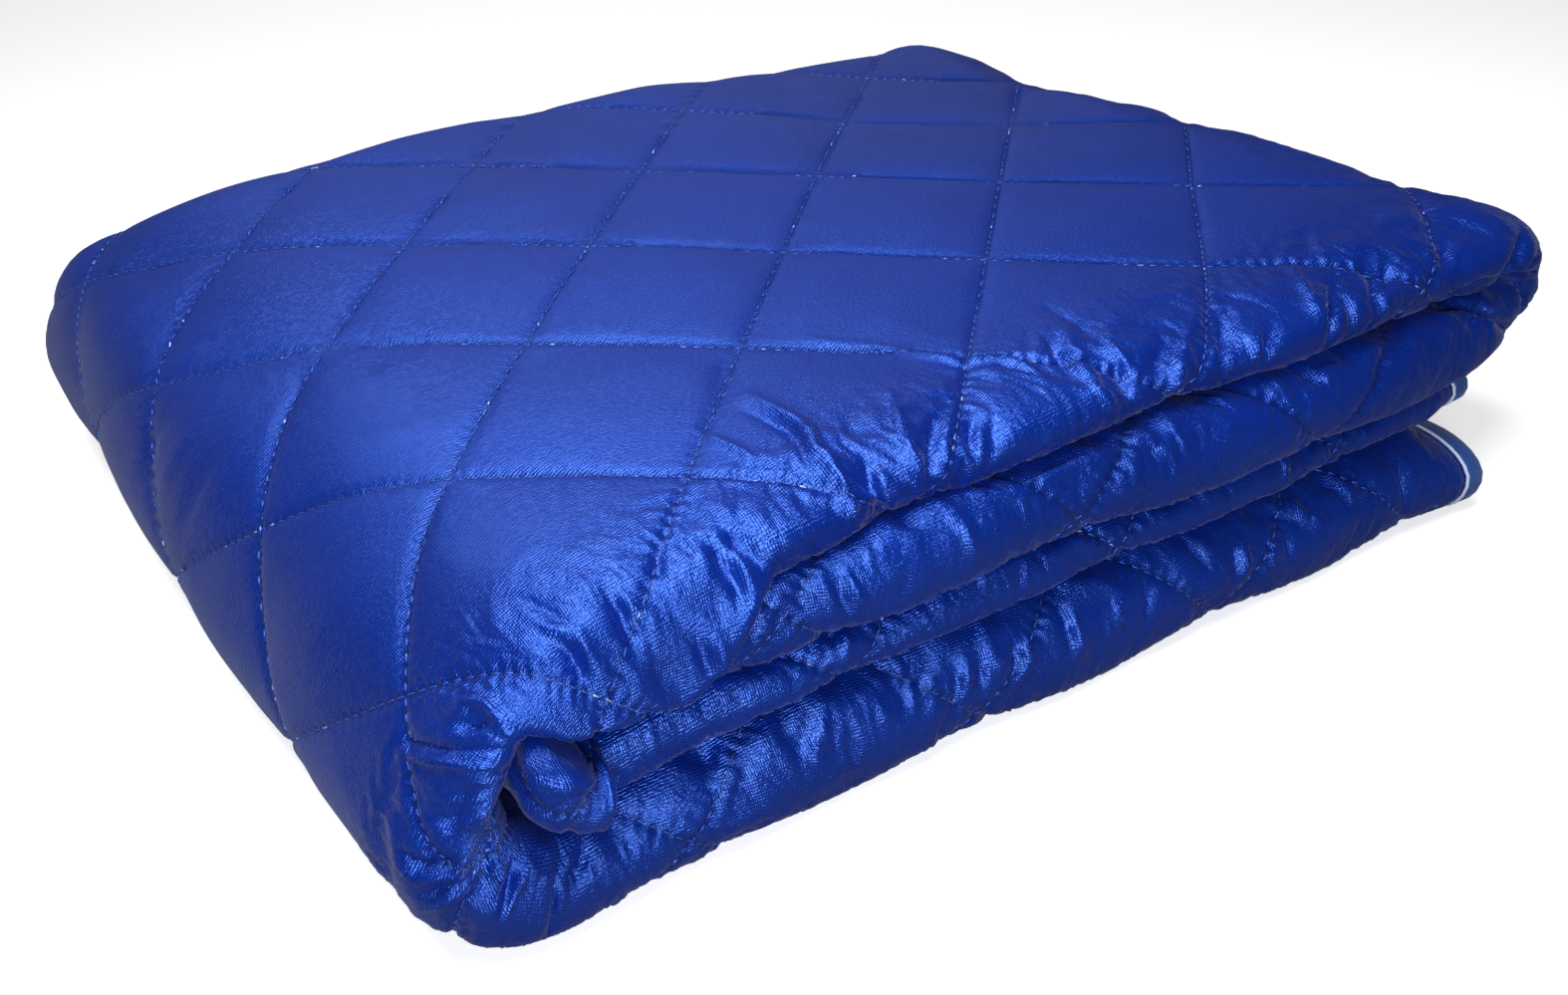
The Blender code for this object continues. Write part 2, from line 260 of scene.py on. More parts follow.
def settle(along, x, y, z):
    height = np.clip((z - FLOOR) / -FLOOR, 0.0, 1.0)
    drop = np.where(x < CROWN_MIDDLE, CROWN_DROP_LEFT, CROWN_DROP_RIGHT)
    crown = CROWN_RISE - drop * np.minimum(((x - CROWN_MIDDLE) / CROWN_REACH) ** 2, 1.6)
    crown = crown - BACK_SAG * growing(x, *SAG_X) * growing(y, *SAG_Y)
    at_left = fading(x, WRAP_ENDS, WRAP_ENDS)
    drawn = WRAP_DRAWN * fading(y, *DRAWN_Y) - WRAP_FULL * growing(y, *FULL_Y)
    x = x + drawn * at_left
    z = z + WRAP_LIFTED * at_left * growing(y, *LIFTED_Y) * np.sin(math.pi * height)
    if FLARED[0] <= along < FLARED[1]:
        x = x + FLARE * fading(y, *FLARE_Y) * growing(x, *FLARE_X)
    return x, y, z + crown * smooth(height)


print("the middle rises", round(CROWN_RISE / MM, 1), "mm, the back sags", BACK_SAG / MM, "mm")

# %% [markdown]
# ## The lip and the tucked roll at the near corner
#
# At the near corner the top leaf's front hangs down over the middle leaf like a lip, and the
# rounded end of the hidden tuck shows under it as a small roll. They could be separate lumps of
# cloth, but on the real blanket they are the same cloth, so the fronts of those rows are moved.

# %% The near corner
LIP_ALONG = ((0.2, 1.6), (3.7, 4.3))
LIP_TURN = ((21.5, 22.35), (22.7, 23.15))
LIP_X = (0.015, 0.020, 0.047, 0.060, 0.078, 0.088, 0.096, 0.104)
LIP_Z = (-0.024, -0.027, -0.034, -0.037, -0.040, -0.034, -0.024, -0.014)
LIP_FORWARD = 0.008
RECESS_ALONG = ((26.0, 28.0), (32.5, 32.9))
RECESS_X, RECESS_BY = (0.078, 0.092, 0.115, 0.150), (0.016, 0.003, 0.002, 0.0)
POCKET, POCKET_WIDE, POCKET_DEEP = (0.103, -0.009), 0.0055, 0.007
ROLL_ALONG = ((32.7, 33.2), (34.75, 34.95))
ROLL_TURN = ((20.4, 21.2), (22.6, 23.3))
ROLL_FORWARD = 0.009
BEHIND_ROLL_ALONG = ((34.75, 34.95), (35.6, 37.5))
BEHIND_ROLL = 0.005
FRONT_TURN = ((20.0, 21.0), (23.0, 24.0))


def near_corner(along, turn, x, y, z):
    lip = window(along, *LIP_ALONG) * window(turn, *LIP_TURN)
    hang = np.minimum(np.interp(x, LIP_X, LIP_Z) - z, 0.0)
    z = z + hang * lip
    y = y - LIP_FORWARD * lip
    front = window(turn, *FRONT_TURN)
    y = y + np.interp(x, RECESS_X, RECESS_BY) * window(along, *RECESS_ALONG) * front
    from_pocket = np.hypot(x - POCKET[0], z - POCKET[1]) / POCKET_WIDE
    y = y + POCKET_DEEP * np.exp(-(from_pocket ** 2)) * front
    y = y - ROLL_FORWARD * window(along, *ROLL_ALONG) * window(turn, *ROLL_TURN)
    y = y + BEHIND_ROLL * window(along, *BEHIND_ROLL_ALONG) * front
    return x, y, z


def place(along, turn, inset=0.0):
    """Points of the folded cloth, in the frame, and their coordinate across the cloth."""
    x, y, z, across = round_leaf(path_row(along), turn, inset)
    x, y, z = near_corner(along, turn, x, y, z)
    x, y, z = settle(along, x, y, np.maximum(z, FLOOR))
    return np.stack((x, y, z), axis=1) + np.array(SHIFT), across


def measured(along, turn, across):
    """The coordinate across, by the cloth's true length down the front fold and under it."""
    down = np.linspace(FRONT_START, INNER_START, 97)
    spots, plain = place(along, down)
    length = np.concatenate(([0.0], np.cumsum(np.linalg.norm(np.diff(spots, axis=0), axis=1))))
    longer = length[-1] + plain[-1]
    on_front = (turn >= FRONT_START) & (turn < INNER_START)
    across = np.where(on_front, -np.interp(turn, down, length), across)
    return np.where(turn >= INNER_START, across - longer, across)


corner, _ = place(2.0, np.array([float(FRONT_START)]))
print("the top leaf's front starts at", corner[0].round(4), "near the corner")

# %% [markdown]
# ## Cutting the quilt
#
# A grid is the flat cloth: one direction runs along the path, the other once round a leaf. A
# grid that is fine everywhere would waste its points on faces that lie inside the stack. So a
# plain grid is cut first, and only what shows is subdivided: once for the folds behind and the
# far half of the top, and twice for the near half, the wrap and the fronts. The creases run round
# the fronts, so there the cells are halved once more along the path, which keeps them crisp.

# %% The flat cloth
CELLS = 3                     # cells of the plain grid in one step of the quilting
TOP_LEAVES = (-4.7, 18.4)
HIDDEN_TUCK = (30.5, 32.7)
BEHIND = (BACK_START, OUTER_START)
FAR_HALF = OUTER_START + 6.5
COARSE_EDGE = 0.3             # turns beside the inner face that are left plain
CREASED_TURNS = 2.4           # how far round the front the creases go
CREASED_TOP, TOP_EDGE, OTHER_EDGE = (0.0, 17.0), 0.8, -0.2
HEM_LENGTH = 0.7


def between(value, ends):
    return ends[0] < value < ends[1]


def shows(along, turn, level):
    """True where the cloth is worth another subdivision."""
    if between(along, TOP_LEAVES):
        start = FAR_HALF if level > 1 else BACK_START
        return start < turn < INNER_START - (COARSE_EDGE if level > 1 else 0.0)
    if level == 1 and between(turn, BEHIND):
        return True
    if between(along, HIDDEN_TUCK) and level > 1:
        return False
    coarse = COARSE_EDGE if level > 1 else 0.0
    return FRONT_START + COARSE_EDGE < turn < INNER_START - coarse


def creased(along, turn):
    """True where the cloth lies in small creases round a front."""
    hemmed = not between(along, (FIRST + HEM_LENGTH, LAST - HEM_LENGTH))
    if between(along, HIDDEN_TUCK) or hemmed:
        return False
    over_the_edge = TOP_EDGE if between(along, CREASED_TOP) else OTHER_EDGE
    return FRONT_START - over_the_edge < turn < FRONT_START + CREASED_TURNS


def flat_cloth():
    lines = [FIRST] + [k / CELLS for k in range(math.ceil(FIRST * CELLS), int(LAST * CELLS) + 1)]
    lines = np.array(lines + [LAST])
    work = bmesh.new()
    bmesh.ops.create_grid(work, x_segments=len(lines) - 1, y_segments=AROUND * CELLS, size=0.5)
    for vertex in work.verts:
        vertex.co.x = lines[round((vertex.co.x + 0.5) * (len(lines) - 1))]
        vertex.co.y = (vertex.co.y + 0.5) * AROUND
    for level in (1, 2):
        chosen = [face for face in work.faces if shows(*face.calc_center_median().xy, level)]
        edges = list({edge for face in chosen for edge in face.edges})
        bmesh.ops.subdivide_edges(work, edges=edges, cuts=1, use_grid_fill=True)
    lengthwise = []
    for edge in work.edges:
        start, end = (vertex.co for vertex in edge.verts)
        if abs(start.y - end.y) < 1e-6 and creased(*((start + end) / 2).xy):
            lengthwise.append(edge)
    bmesh.ops.subdivide_edges(work, edges=lengthwise, cuts=1, use_grid_fill=True)
    return work


quilt = flat_cloth()
print("flat cloth:", len(quilt.verts), "points,", len(quilt.faces), "cells")

# %% [markdown]
# ## The quilting
#
# Two sets of stitched lines cross at the corners of the diamonds and hold the cloth down, and
# the wadding lifts it in between. The rise could be a displacement texture, but a small formula
# in the cloth's own coordinates keeps it the same on every side of a fold.

# %% Rise of the cloth
LINES_APART = DIAMOND / math.sqrt(2)
PUFF = 0.0027
TROUGH, TROUGH_WIDTH = 0.0009, 0.0016
FRONT_SHARE = 0.8             # of the full rise, on the fronts and the folds behind
# where the quilting swells: places along the path, then turns round a leaf
TOP_SWELLS, OUTER_SWELLS = ((-5.2, -3.7), (17.8, 18.8)), ((6.5, 7.5), (22.5, 23.5))
FRONT_SWELLS, BACK_SWELLS = ((20.0, 21.0), (22.8, 24.0)), ((6.0, 6.7), (7.3, 8.0))
HEM_SWELLS = ((FIRST + 0.45, FIRST + 0.95), (LAST - 0.95, LAST - 0.45))


def seam_distances(u, v):
    """Distance to the nearest stitched line of each set."""
    rising, falling = (u + v) / math.sqrt(2), (u - v) / math.sqrt(2)
    return tuple(
        np.abs(line - np.round(line / LINES_APART) * LINES_APART) for line in (rising, falling)
    )


def puffed(u, v):
    one, other = seam_distances(u, v)
    lift = np.sqrt(np.sin(math.pi * one / LINES_APART) * np.sin(math.pi * other / LINES_APART))
    nearest = np.minimum(one, other)
    return PUFF * lift - TROUGH * np.exp(-((nearest / TROUGH_WIDTH) ** 2))


def puff_share(along, turn):
    """The quilting shows on the wrap, the top and the fronts, and is pressed flat inside."""
    top = window(along, *TOP_SWELLS) * window(turn, *OUTER_SWELLS)
    folds = np.maximum(window(turn, *FRONT_SWELLS), window(turn, *BACK_SWELLS))
    return np.maximum(top, FRONT_SHARE * folds) * window(along, *HEM_SWELLS)


print("stitched lines lie", round(LINES_APART / MM), "mm apart, and the cloth rises by",
      round(PUFF / MM, 1), "mm between them")

# %% [markdown]
# ## The main creases
#
# Where the fronts bend round, the taffeta is too long and lies in ridges and hollows. Noise alone
# would put them anywhere, so the main ones are listed one by one, where the photograph shows them:
# each row is a soft ridge or, with a negative rise, a trough, along a few points of the flat
# cloth. Between them a ridged noise adds the small ones, which run round the fronts, and a slow
# unevenness covers the top.

# %% Creases listed one by one
# rise and half width in millimetres, then points (along the path, across the cloth), millimetres
CREASES = [
    (-1.6, 2.2, (-11, -6), (-7, -14), (-2, -26), (6, -39)),
    (1.4, 2.2, (-13, -11), (-5, -28), (-1, -38)),
    (1.8, 3.0, (7, -22), (13, -24), (17, -30), (16, -35), (13, -38)),
    (-2.2, 2.4, (6, -26), (9, -30), (13, -33)),
    (-1.4, 3.0, (-9, -38), (-22, -37), (-31, -38)),
    (1.6, 2.6, (-20, -44), (-55, -60), (-70, -60), (-77, -48)),
    (-1.6, 2.6, (-30, -46), (-54, -58), (-63, -54), (-63, -46)),
    (1.4, 2.6, (-35, -45), (-47, -45), (-63, -35)),
    (1.4, 2.4, (-41, -22), (-44, -33), (-45, -42), (-51, -50)),
    (-1.4, 2.4, (-37, -23), (-40, -33), (-39, -40)),
    (-1.2, 2.6, (-51, -30), (-49, -42), (-54, -49)),
    (1.4, 2.6, (-57, -29), (-53, -42), (-57, -48)),
    (-1.8, 2.6, (-78, -67), (-78, -61), (-78, -52)),
    (1.6, 2.6, (-80, -54), (-81, -63), (-86, -67), (-97, -63)),
    (-2.0, 2.4, (-102, -62), (-104, -44)),
    (-3.4, 2.8, (-123, -68), (-117, -63), (-111, -61)),
    (-1.6, 2.4, (-111, -70), (-104, -64)),
    (-3.8, 4.6, (-172, -76)),
    (1.6, 2.4, (-177, -77), (-177, -69), (-172, -63)),
    (-1.8, 2.6, (-202, -84), (-197, -75), (-198, -68)),
    (1.8, 2.8, (-212, -80), (-210, -73), (-202, -64)),
    (-1.6, 2.6, (-206, -75), (-201, -70), (-197, -65)),
    (-2.0, 4.4, (44, -29), (47, -37), (49, -46)),
    (1.4, 3.0, (45, -26), (51, -34), (53, -43)),
    (-2.0, 3.2, (64, -28), (65, -36), (65, -43)),
    (1.2, 2.8, (67, -31), (69, -39)),
    (-0.9, 2.6, (45, -14), (48, -22), (50, -31)),
    (-2.2, 3.2, (96, -29), (96, -36), (98, -43)),
    (1.8, 3.0, (99, -31), (100, -37), (101, -43)),
    (-1.6, 3.0, (101, -46), (93, -45), (85, -44), (81, -45)),
    (-1.4, 3.4, (81, -49), (84, -55), (84, -63)),
    (1.2, 3.0, (85, -49), (89, -57), (87, -62)),
    (-1.4, 4.0, (69, -50), (72, -59)),
    (-0.9, 2.6, (82, -23), (78, -33)),
    (1.0, 2.6, (120, 17), (123, -1), (125, -16)),
    (2.0, 3.4, (142, 22), (144, -2), (141, -17), (140, -25), (139, -40)),
    (-1.2, 3.4, (137, 16), (140, -2), (137, -17)),
    (-2.4, 4.2, (150, -26), (148, -35), (151, -49)),
    (1.4, 3.0, (152, -30), (150, -38), (154, -45)),
    (2.2, 3.6, (175, -7), (167, -23), (164, -32), (164, -37)),
    (-1.8, 3.4, (180, -22), (171, -31), (164, -40)),
    (1.4, 3.0, (191, -19), (177, -31), (169, -44)),
    (-2.0, 3.2, (190, -28), (183, -37)),
    (1.4, 2.8, (191, -32), (185, -39)),
    (-1.6, 3.0, (197, -30), (189, -40)),
    (1.4, 3.0, (179, 38), (196, 17), (206, -1), (219, -10), (221, -26), (227, -36)),
    (2.4, 3.8, (244, -8), (237, -25), (232, -36), (235, -41)),
    (-1.6, 3.6, (236, -11), (233, -23)),
    (-2.6, 3.6, (247, -31), (243, -43)),
    (1.6, 3.6, (253, -17), (249, -29), (250, -36)),
    (-2.2, 3.8, (269, -29), (255, -39)),
    (-1.6, 3.0, (275, -31), (262, -39)),
    (2.0, 3.2, (284, -27), (267, -38), (260, -48)),
    (-1.8, 3.4, (294, -30), (283, -44)),
    (1.8, 3.4, (333, -23), (322, -42), (324, -46)),
    (-1.6, 3.2, (336, -42), (336, -53)),
    (-1.8, 3.0, (358, -34), (347, -48)),
    (1.4, 2.8, (359, -38), (349, -48)),
    (-1.6, 2.8, (364, -39), (351, -48)),
    (-0.9, 3.0, (253, 8), (249, -24)),
    (-0.8, 2.8, (151, 49), (137, 35)),
    (1.6, 2.8, (725, -78), (723, -71), (715, -69), (700, -70), (680, -72), (660, -72)),
    (-2.6, 3.6, (748, -73), (748, -68)),
    (1.6, 3.0, (736, -73), (734, -64), (732, -55)),
    (1.8, 2.8, (774, -62), (773, -56), (770, -51)),
    (-1.6, 2.8, (779, -59), (776, -50)),
    (1.2, 2.8, (784, -63), (780, -55)),
    (1.8, 2.8, (665, -77), (659, -75), (655, -71)),
    (-2.0, 2.6, (663, -73), (655, -68)),
    (-2.2, 2.8, (632, -84), (625, -80), (624, -75)),
    (1.4, 2.8, (628, -73), (621, -78)),
    (-2.0, 2.8, (592, -90), (589, -84), (588, -78)),
    (1.2, 2.8, (602, -85), (602, -77)),
    (-1.6, 2.8, (571, -89), (569, -83)),
    (-2.0, 2.8, (388, -61), (401, -61), (458, -47)),
    (-2.0, 2.8, (534, -85), (515, -85), (497, -75), (478, -55)),
    (1.6, 2.8, (522, -81), (514, -78), (491, -67)),
    (-1.6, 2.8, (411, -57), (420, -52), (427, -46)),
    (1.2, 3.0, (418, -59), (436, -50)),
    (-2.6, 3.6, (1004, -35)),
    (1.6, 2.8, (1008, -35), (1006, -42)),
    (1.8, 3.0, (1081, -44), (1094, -43), (1101, -46)),
    (1.4, 2.8, (1053, -39), (1060, -40), (1076, -42)),
    (1.4, 2.8, (1191, -44), (1189, -54)),
    (-1.6, 2.8, (1160, -41), (1172, -41)),
    (-1.6, 2.8, (1129, -42), (1143, -45)),
    (-1.8, 3.0, (1236, -48), (1245, -46)),
    (2.4, 3.0, (-273, -87), (-271, -78), (-273, -70)),
    (-2.2, 3.0, (-284, -80), (-278, -68)),
    (2.0, 3.2, (-286, -78), (-285, -71), (-280, -63)),
    (-1.6, 2.6, (-304, -86), (-302, -76), (-301, -68)),
    (1.8, 2.8, (-306, -84), (-304, -76), (-306, -67)),
    (1.6, 2.6, (-306, -90), (-319, -85), (-328, -79)),
    (-2.2, 3.0, (-266, -75), (-265, -65)),
    (1.6, 3.0, (-262, -78), (-260, -68)),
    (-1.4, 3.0, (-258, -76), (-254, -60)),
    (1.4, 3.2, (-252, -78), (-247, -69)),
    (1.2, 3.2, (-228, -75), (-229, -68)),
    (-2.2, 2.8, (-425, -90), (-434, -89), (-434, -80)),
    (1.6, 2.8, (-436, -96), (-437, -85)),
    (1.6, 2.8, (-399, -90), (-410, -87), (-421, -76)),
    (-1.4, 2.8, (-390, -89), (-406, -84), (-412, -78)),
    (-1.8, 2.8, (-378, -80), (-374, -71)),
    (1.6, 2.8, (-382, -80), (-379, -69)),
    (1.4, 2.8, (-396, -79), (-393, -68)),
    (-1.4, 2.8, (-403, -78), (-401, -70)),
    (-1.4, 2.8, (-464, -86), (-464, -69)),
    (-1.4, 2.8, (-359, -91), (-363, -79)),
    (1.4, 2.8, (-326, -78), (-319, -70)),
    (-1.6, 3.0, (-337, -78), (-333, -67)),
    (-0.8, 5.0, (-1, 187), (-34, 193)),
    (0.8, 5.0, (4, 169), (-27, 171)),
    (-0.8, 5.0, (2, 147), (-29, 149)),
    (-3.0, 2.6, (411, -57), (420, -52), (425, -48)),
    (-4.0, 2.8, (390, -62), (398, -60), (413, -62), (455, -61), (456, -46)),
    (1.8, 3.0, (405, -58), (416, -57), (440, -53)),
    (-1.4, 2.4, (419, -55), (427, -52)),
    (-3.6, 2.6, (524, -88), (510, -83), (491, -69), (476, -50)),
    (2.0, 2.6, (514, -83), (501, -77), (491, -68)),
    (-2.4, 2.4, (518, -81), (512, -76), (502, -71)),
    (-1.4, 2.6, (393, -37), (384, -46), (379, -49)),
    (1.2, 2.6, (387, -36), (377, -46)),
    (-2.6, 2.8, (336, -38), (326, -47), (327, -55)),
    (2.0, 3.0, (332, -37), (323, -45)),
    (-2.2, 2.6, (363, -37), (353, -43), (345, -48)),
    (1.8, 2.8, (357, -47), (351, -50), (349, -53)),
    (-2.0, 2.8, (306, -41), (300, -45), (298, -50)),
    (1.6, 2.8, (300, -40), (294, -47)),
    (-2.2, 2.6, (590, -87), (588, -83), (587, -78)),
    (2.0, 3.0, (573, -83), (582, -81), (589, -76)),
    (-2.0, 2.6, (571, -82), (575, -84), (581, -85)),
    (1.6, 2.8, (548, -84), (559, -83), (569, -80)),
    (-1.6, 2.8, (539, -83), (550, -80), (559, -77)),
]
print(len(CREASES), "creases placed by hand")

# %% Height of the creases
# the creases' sizes were judged a little too low, wide and round: these correct them
CREASE_HEIGHT, CREASE_NARROW, CREASE_POINTED = 1.9, 0.62, 1.15
END_HEIGHT = 0.35             # a crease keeps this share of its height at its two ends
DEEPEST, HIGHEST = 0.0042, 0.0026
WRINKLE, WRINKLE_ALONG, WRINKLE_ACROSS = 0.0011, 0.0062, 0.024
UNEVEN, UNEVEN_SIZE = 0.0012, 0.045
BEND, BEND_LENGTH, BEND_SHIFT, BEND_SHIFT_LENGTH = 0.008, 0.011, 3.0, 0.031
NEAR_FLOOR, NEAR_FLOOR_DEPTH = -0.092, 0.03


def crease_lift(u, v, row):
    """One crease's height at the points of the cloth, tapering to both ends."""
    rise, width = row[0] * MM, row[1] * MM * CREASE_NARROW
    line = np.array(row[2:]) * MM
    margin = 3 * width
    near = (u > line[:, 0].min() - margin) & (u < line[:, 0].max() + margin)
    near &= (v > line[:, 1].min() - margin) & (v < line[:, 1].max() + margin)
    lift = np.zeros_like(u)
    spots = np.stack((u[near], v[near]), axis=1)
    away = np.full(len(spots), 1.0)
    share = np.full(len(spots), 0.5)
    if len(line) == 1:
        away = np.hypot(*(spots - line[0]).T)
    for index, (start, end) in enumerate(zip(line[:-1], line[1:])):
        run = end - start
        part = np.clip((spots - start) @ run / max(run @ run, 1e-12), 0.0, 1.0)
        distance = np.hypot(*(spots - start - part[:, None] * run).T)
        closer = distance < away
        away = np.where(closer, distance, away)
        share = np.where(closer, (index + part) / (len(line) - 1), share)
    taper = END_HEIGHT + (1 - END_HEIGHT) * np.sin(math.pi * share)
    lift[near] = CREASE_HEIGHT * rise * taper * np.exp(-((away / width) ** CREASE_POINTED))
    return lift


def ridged(u, v, along, across, octaves):
    """Noise of about -0.6 to 0.6 with sharp ridges, that long in each direction."""
    fineness, finer_each_time, offset, gain = 1.0, 2.1, 1.0, 1.6
    spots = (Vector((x / along, y / across, 0.0)) for x, y in zip(u, v))
    return np.array([
        noise_at.ridged_multi_fractal(spot, fineness, finer_each_time, octaves, offset, gain)
        for spot in spots
    ]) * 0.5 - 0.6


def crumpled(u, v, front):
    """The creases placed by hand, small ridged ones at the fronts, a slow unevenness elsewhere."""
    placed = np.clip(sum(crease_lift(u, v, row) for row in CREASES), -DEEPEST, HIGHEST)
    bent = BEND * np.sin(v / BEND_LENGTH + BEND_SHIFT * np.sin(u / BEND_SHIFT_LENGTH))
    small = ridged(u + bent, v, WRINKLE_ALONG, WRINKLE_ACROSS, 2.0)
    slow = ridged(u, v, UNEVEN_SIZE, UNEVEN_SIZE, 1.0)
    above_floor = growing(v, NEAR_FLOOR, NEAR_FLOOR_DEPTH)
    return placed + WRINKLE * front * above_floor * small + UNEVEN * (1 - front) * slow


# %% [markdown]
# ## Folding it
#
# Each point is carried from the flat cloth to the fold, and then out along the surface by the
# rise of the quilting. The cloth's two coordinates are written as a UV map, so that the weave
# and the stitches follow the cloth wherever it goes. The flat place of each point is kept too,
# as the simulation asks it how far the point may move.

# %% Folding
HEM_PRESSED = 0.0014          # the hem's tape lies in this much of the cloth's thickness
HEM_FREE = ((FIRST + 0.36, FIRST + 0.46), (LAST - 0.46, LAST - 0.36))
EDGE_Y, EDGE_TURN = (0.012, 0.03), (19.0, 1.0)
FLOOR_GAP = 0.0002


def fold(work):
    flat = np.array([vertex.co[:2] for vertex in work.verts])
    placed, across = np.zeros((len(flat), 3)), np.zeros(len(flat))
    order = np.argsort(flat[:, 0], kind="stable")
    starts = np.flatnonzero(np.diff(flat[order, 0]) > 1e-7) + 1
    for group in np.split(order, starts):
        along = flat[group[0], 0]
        hem = 1 - float(window(along, *HEM_FREE))
        placed[group], plain = place(along, flat[group, 1], HEM_PRESSED * hem)
        across[group] = measured(along, flat[group, 1], plain)
    uv = work.loops.layers.uv.new("quilting")
    for face in work.faces:
        for loop in face.loops:
            index = loop.vert.index
            loop[uv].uv = (flat[index, 0] * STEP, across[index])
    for vertex, point in zip(work.verts, placed):
        vertex.co = point
    bmesh.ops.reverse_faces(work, faces=work.faces[:])
    work.normal_update()
    u, shown = flat[:, 0] * STEP, puff_share(flat[:, 0], flat[:, 1])
    at_front = fading(across, *EDGE_Y) * growing(flat[:, 1], *EDGE_TURN)
    lift = (puffed(u, across) + crumpled(u, across, at_front)) * shown
    for vertex, rise in zip(work.verts, lift):
        vertex.co += vertex.normal * float(rise)
        vertex.co.z = max(vertex.co.z, FLOOR_GAP)
    cut_at = work.verts.layers.float_vector.new("cut_at")
    for vertex, (along, turn) in zip(work.verts, flat):
        vertex[cut_at] = (along, turn, across[vertex.index])
    seam = [vertex for vertex in work.verts if vertex.is_boundary]
    bmesh.ops.remove_doubles(work, verts=seam, dist=1e-5)


quilt.verts.index_update()
fold(quilt)
print("folded, with", sum(edge.is_boundary for edge in quilt.edges), "open edges at the two hems")

# %% [markdown]
# ## The cut ends
#
# A leaf is the quilt doubled twice, so each hem shows nested layers. The cloth's end is turned
# in by one layer and carried a little way inside, which leaves a hollow for the inner layers.

# %% Turning in the ends
LAYER = {FIRST: 0.0062, LAST: 0.0031}       # how thick one layer is at each hem
CUT_EDGE, HOLLOW = 0.01, 0.7                # steps that the cut edge and the hollow go in


def turn_in(work, end, inward):
    cut_at = work.verts.layers.float_vector["cut_at"]
    rim = [
        edge for edge in work.edges
        if edge.is_boundary and abs(edge.verts[0][cut_at].x - end) < CUT_EDGE
    ]
    for along in (end + CUT_EDGE * inward, end + HOLLOW * inward):
        made = bmesh.ops.extrude_edge_only(work, edges=rim)["geom"]
        points = [part for part in made if isinstance(part, bmesh.types.BMVert)]
        rim = [part for part in made if isinstance(part, bmesh.types.BMEdge)]
        turns = np.array([point[cut_at].y for point in points])
        places, _ = place(along, turns, LAYER[end])
        for point, spot in zip(points, places):
            point.co = spot
    bmesh.ops.holes_fill(work, edges=rim, sides=0)


turn_in(quilt, FIRST, 1)
turn_in(quilt, LAST, -1)
bmesh.ops.triangulate(quilt, faces=[face for face in quilt.faces if len(face.verts) > 4])
bmesh.ops.recalc_face_normals(quilt, faces=quilt.faces[:])
print("closed cloth:", sum(edge.is_boundary for edge in quilt.edges), "open edges")

# %% Finishing a piece
def finished(name, work, surface, replaced):
    """A mesh object from a bmesh, smooth, riding on the part and standing for its solid."""
    mesh = bpy.data.meshes.new(name)
    work.to_mesh(mesh)
    work.free()
    mesh.polygons.foreach_set("use_smooth", [True] * len(mesh.polygons))
    mesh.materials.append(surface)
    made = bpy.data.objects.new(name, mesh)
    bpy.context.scene.collection.objects.link(made)
    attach(made, "root")
    if replaced:
        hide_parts(replaced)
    triangles = sum(len(face.vertices) - 2 for face in mesh.polygons)
    print(name, "has", triangles, "triangles")
    return made


# %% [markdown]
# ## Shader building blocks
#
# A material is a small network of nodes. Placing them by hand in the editor is slow, and the
# cloth and its tape need the same weave, so short helpers place and link the nodes here. What is
# shared becomes a node group, which takes the cloth's coordinates in metres and puts out masks
# and heights of about 0 to 1.

# %% Helpers for shader nodes
def add_node(tree, kind, inputs=(), **settings):
    made = tree.nodes.new(kind)
    for name, value in settings.items():
        setattr(made, name, value)
    for socket, value in dict(inputs).items():
        if isinstance(value, bpy.types.NodeSocket):
            tree.links.new(value, made.inputs[socket])
        else:
            made.inputs[socket].default_value = value
    return made


def reckon(tree, operation, *values):
    """A Math node of up to three values, and its result."""
    return add_node(tree, "ShaderNodeMath", enumerate(values), operation=operation).outputs[0]


def waves(tree, distance, length):
    """A sine of 0 to 1 that repeats every length along distance."""
    turns = reckon(tree, "MULTIPLY", distance, math.tau / length)
    return reckon(tree, "MULTIPLY_ADD", reckon(tree, "SINE", turns), 0.5, 0.5)


def bell(tree, distance, width):
    """1 at distance 0, falling off softly over width."""
    square = reckon(tree, "POWER", reckon(tree, "DIVIDE", distance, width), 2.0)
    return reckon(tree, "EXPONENT", reckon(tree, "MULTIPLY", square, -1.0))


def new_group(name, outputs):
    """An empty shader group that takes the cloth's coordinates, in metres."""
    tree = bpy.data.node_groups.new(name, "ShaderNodeTree")
    tree.interface.new_socket("Cloth", in_out="INPUT", socket_type="NodeSocketVector")
    for output in outputs:
        tree.interface.new_socket(output, in_out="OUTPUT", socket_type="NodeSocketFloat")
    cloth = tree.nodes.new("NodeGroupInput").outputs["Cloth"]
    return tree, cloth, tree.nodes.new("NodeGroupOutput")


def noise(tree, cloth, scale, detail, stretch=(1.0, 1.0, 1.0), kind="FBM", shift=0.0):
    spot = add_node(tree, "ShaderNodeMapping", {
        "Vector": cloth, "Scale": stretch, "Location": (shift, shift, 0.0),
    })
    made = add_node(tree, "ShaderNodeTexNoise", {
        "Vector": spot.outputs[0], "Scale": scale, "Detail": detail,
    }, noise_type=kind)
    return made.outputs["Fac"]


def spread(tree, value, low, high, least=0.0, most=1.0):
    """The value between low and high, spread from least to most."""
    return add_node(
        tree, "ShaderNodeMapRange", {"Value": value, 1: low, 2: high, 3: least, 4: most}
    )


# %% [markdown]
# ## Weave, puckers and crumples
#
# Taffeta has fine ribs across the cloth and little slubs along its threads. Beside each stitched
# line the thread draws the cloth into small puckers, one to a stitch. Both are finer than the
# mesh, so they are bump, worked out from the same two coordinates as the diamonds. So are the
# sharpest little creases, which run round the fronts between the ones that were placed.

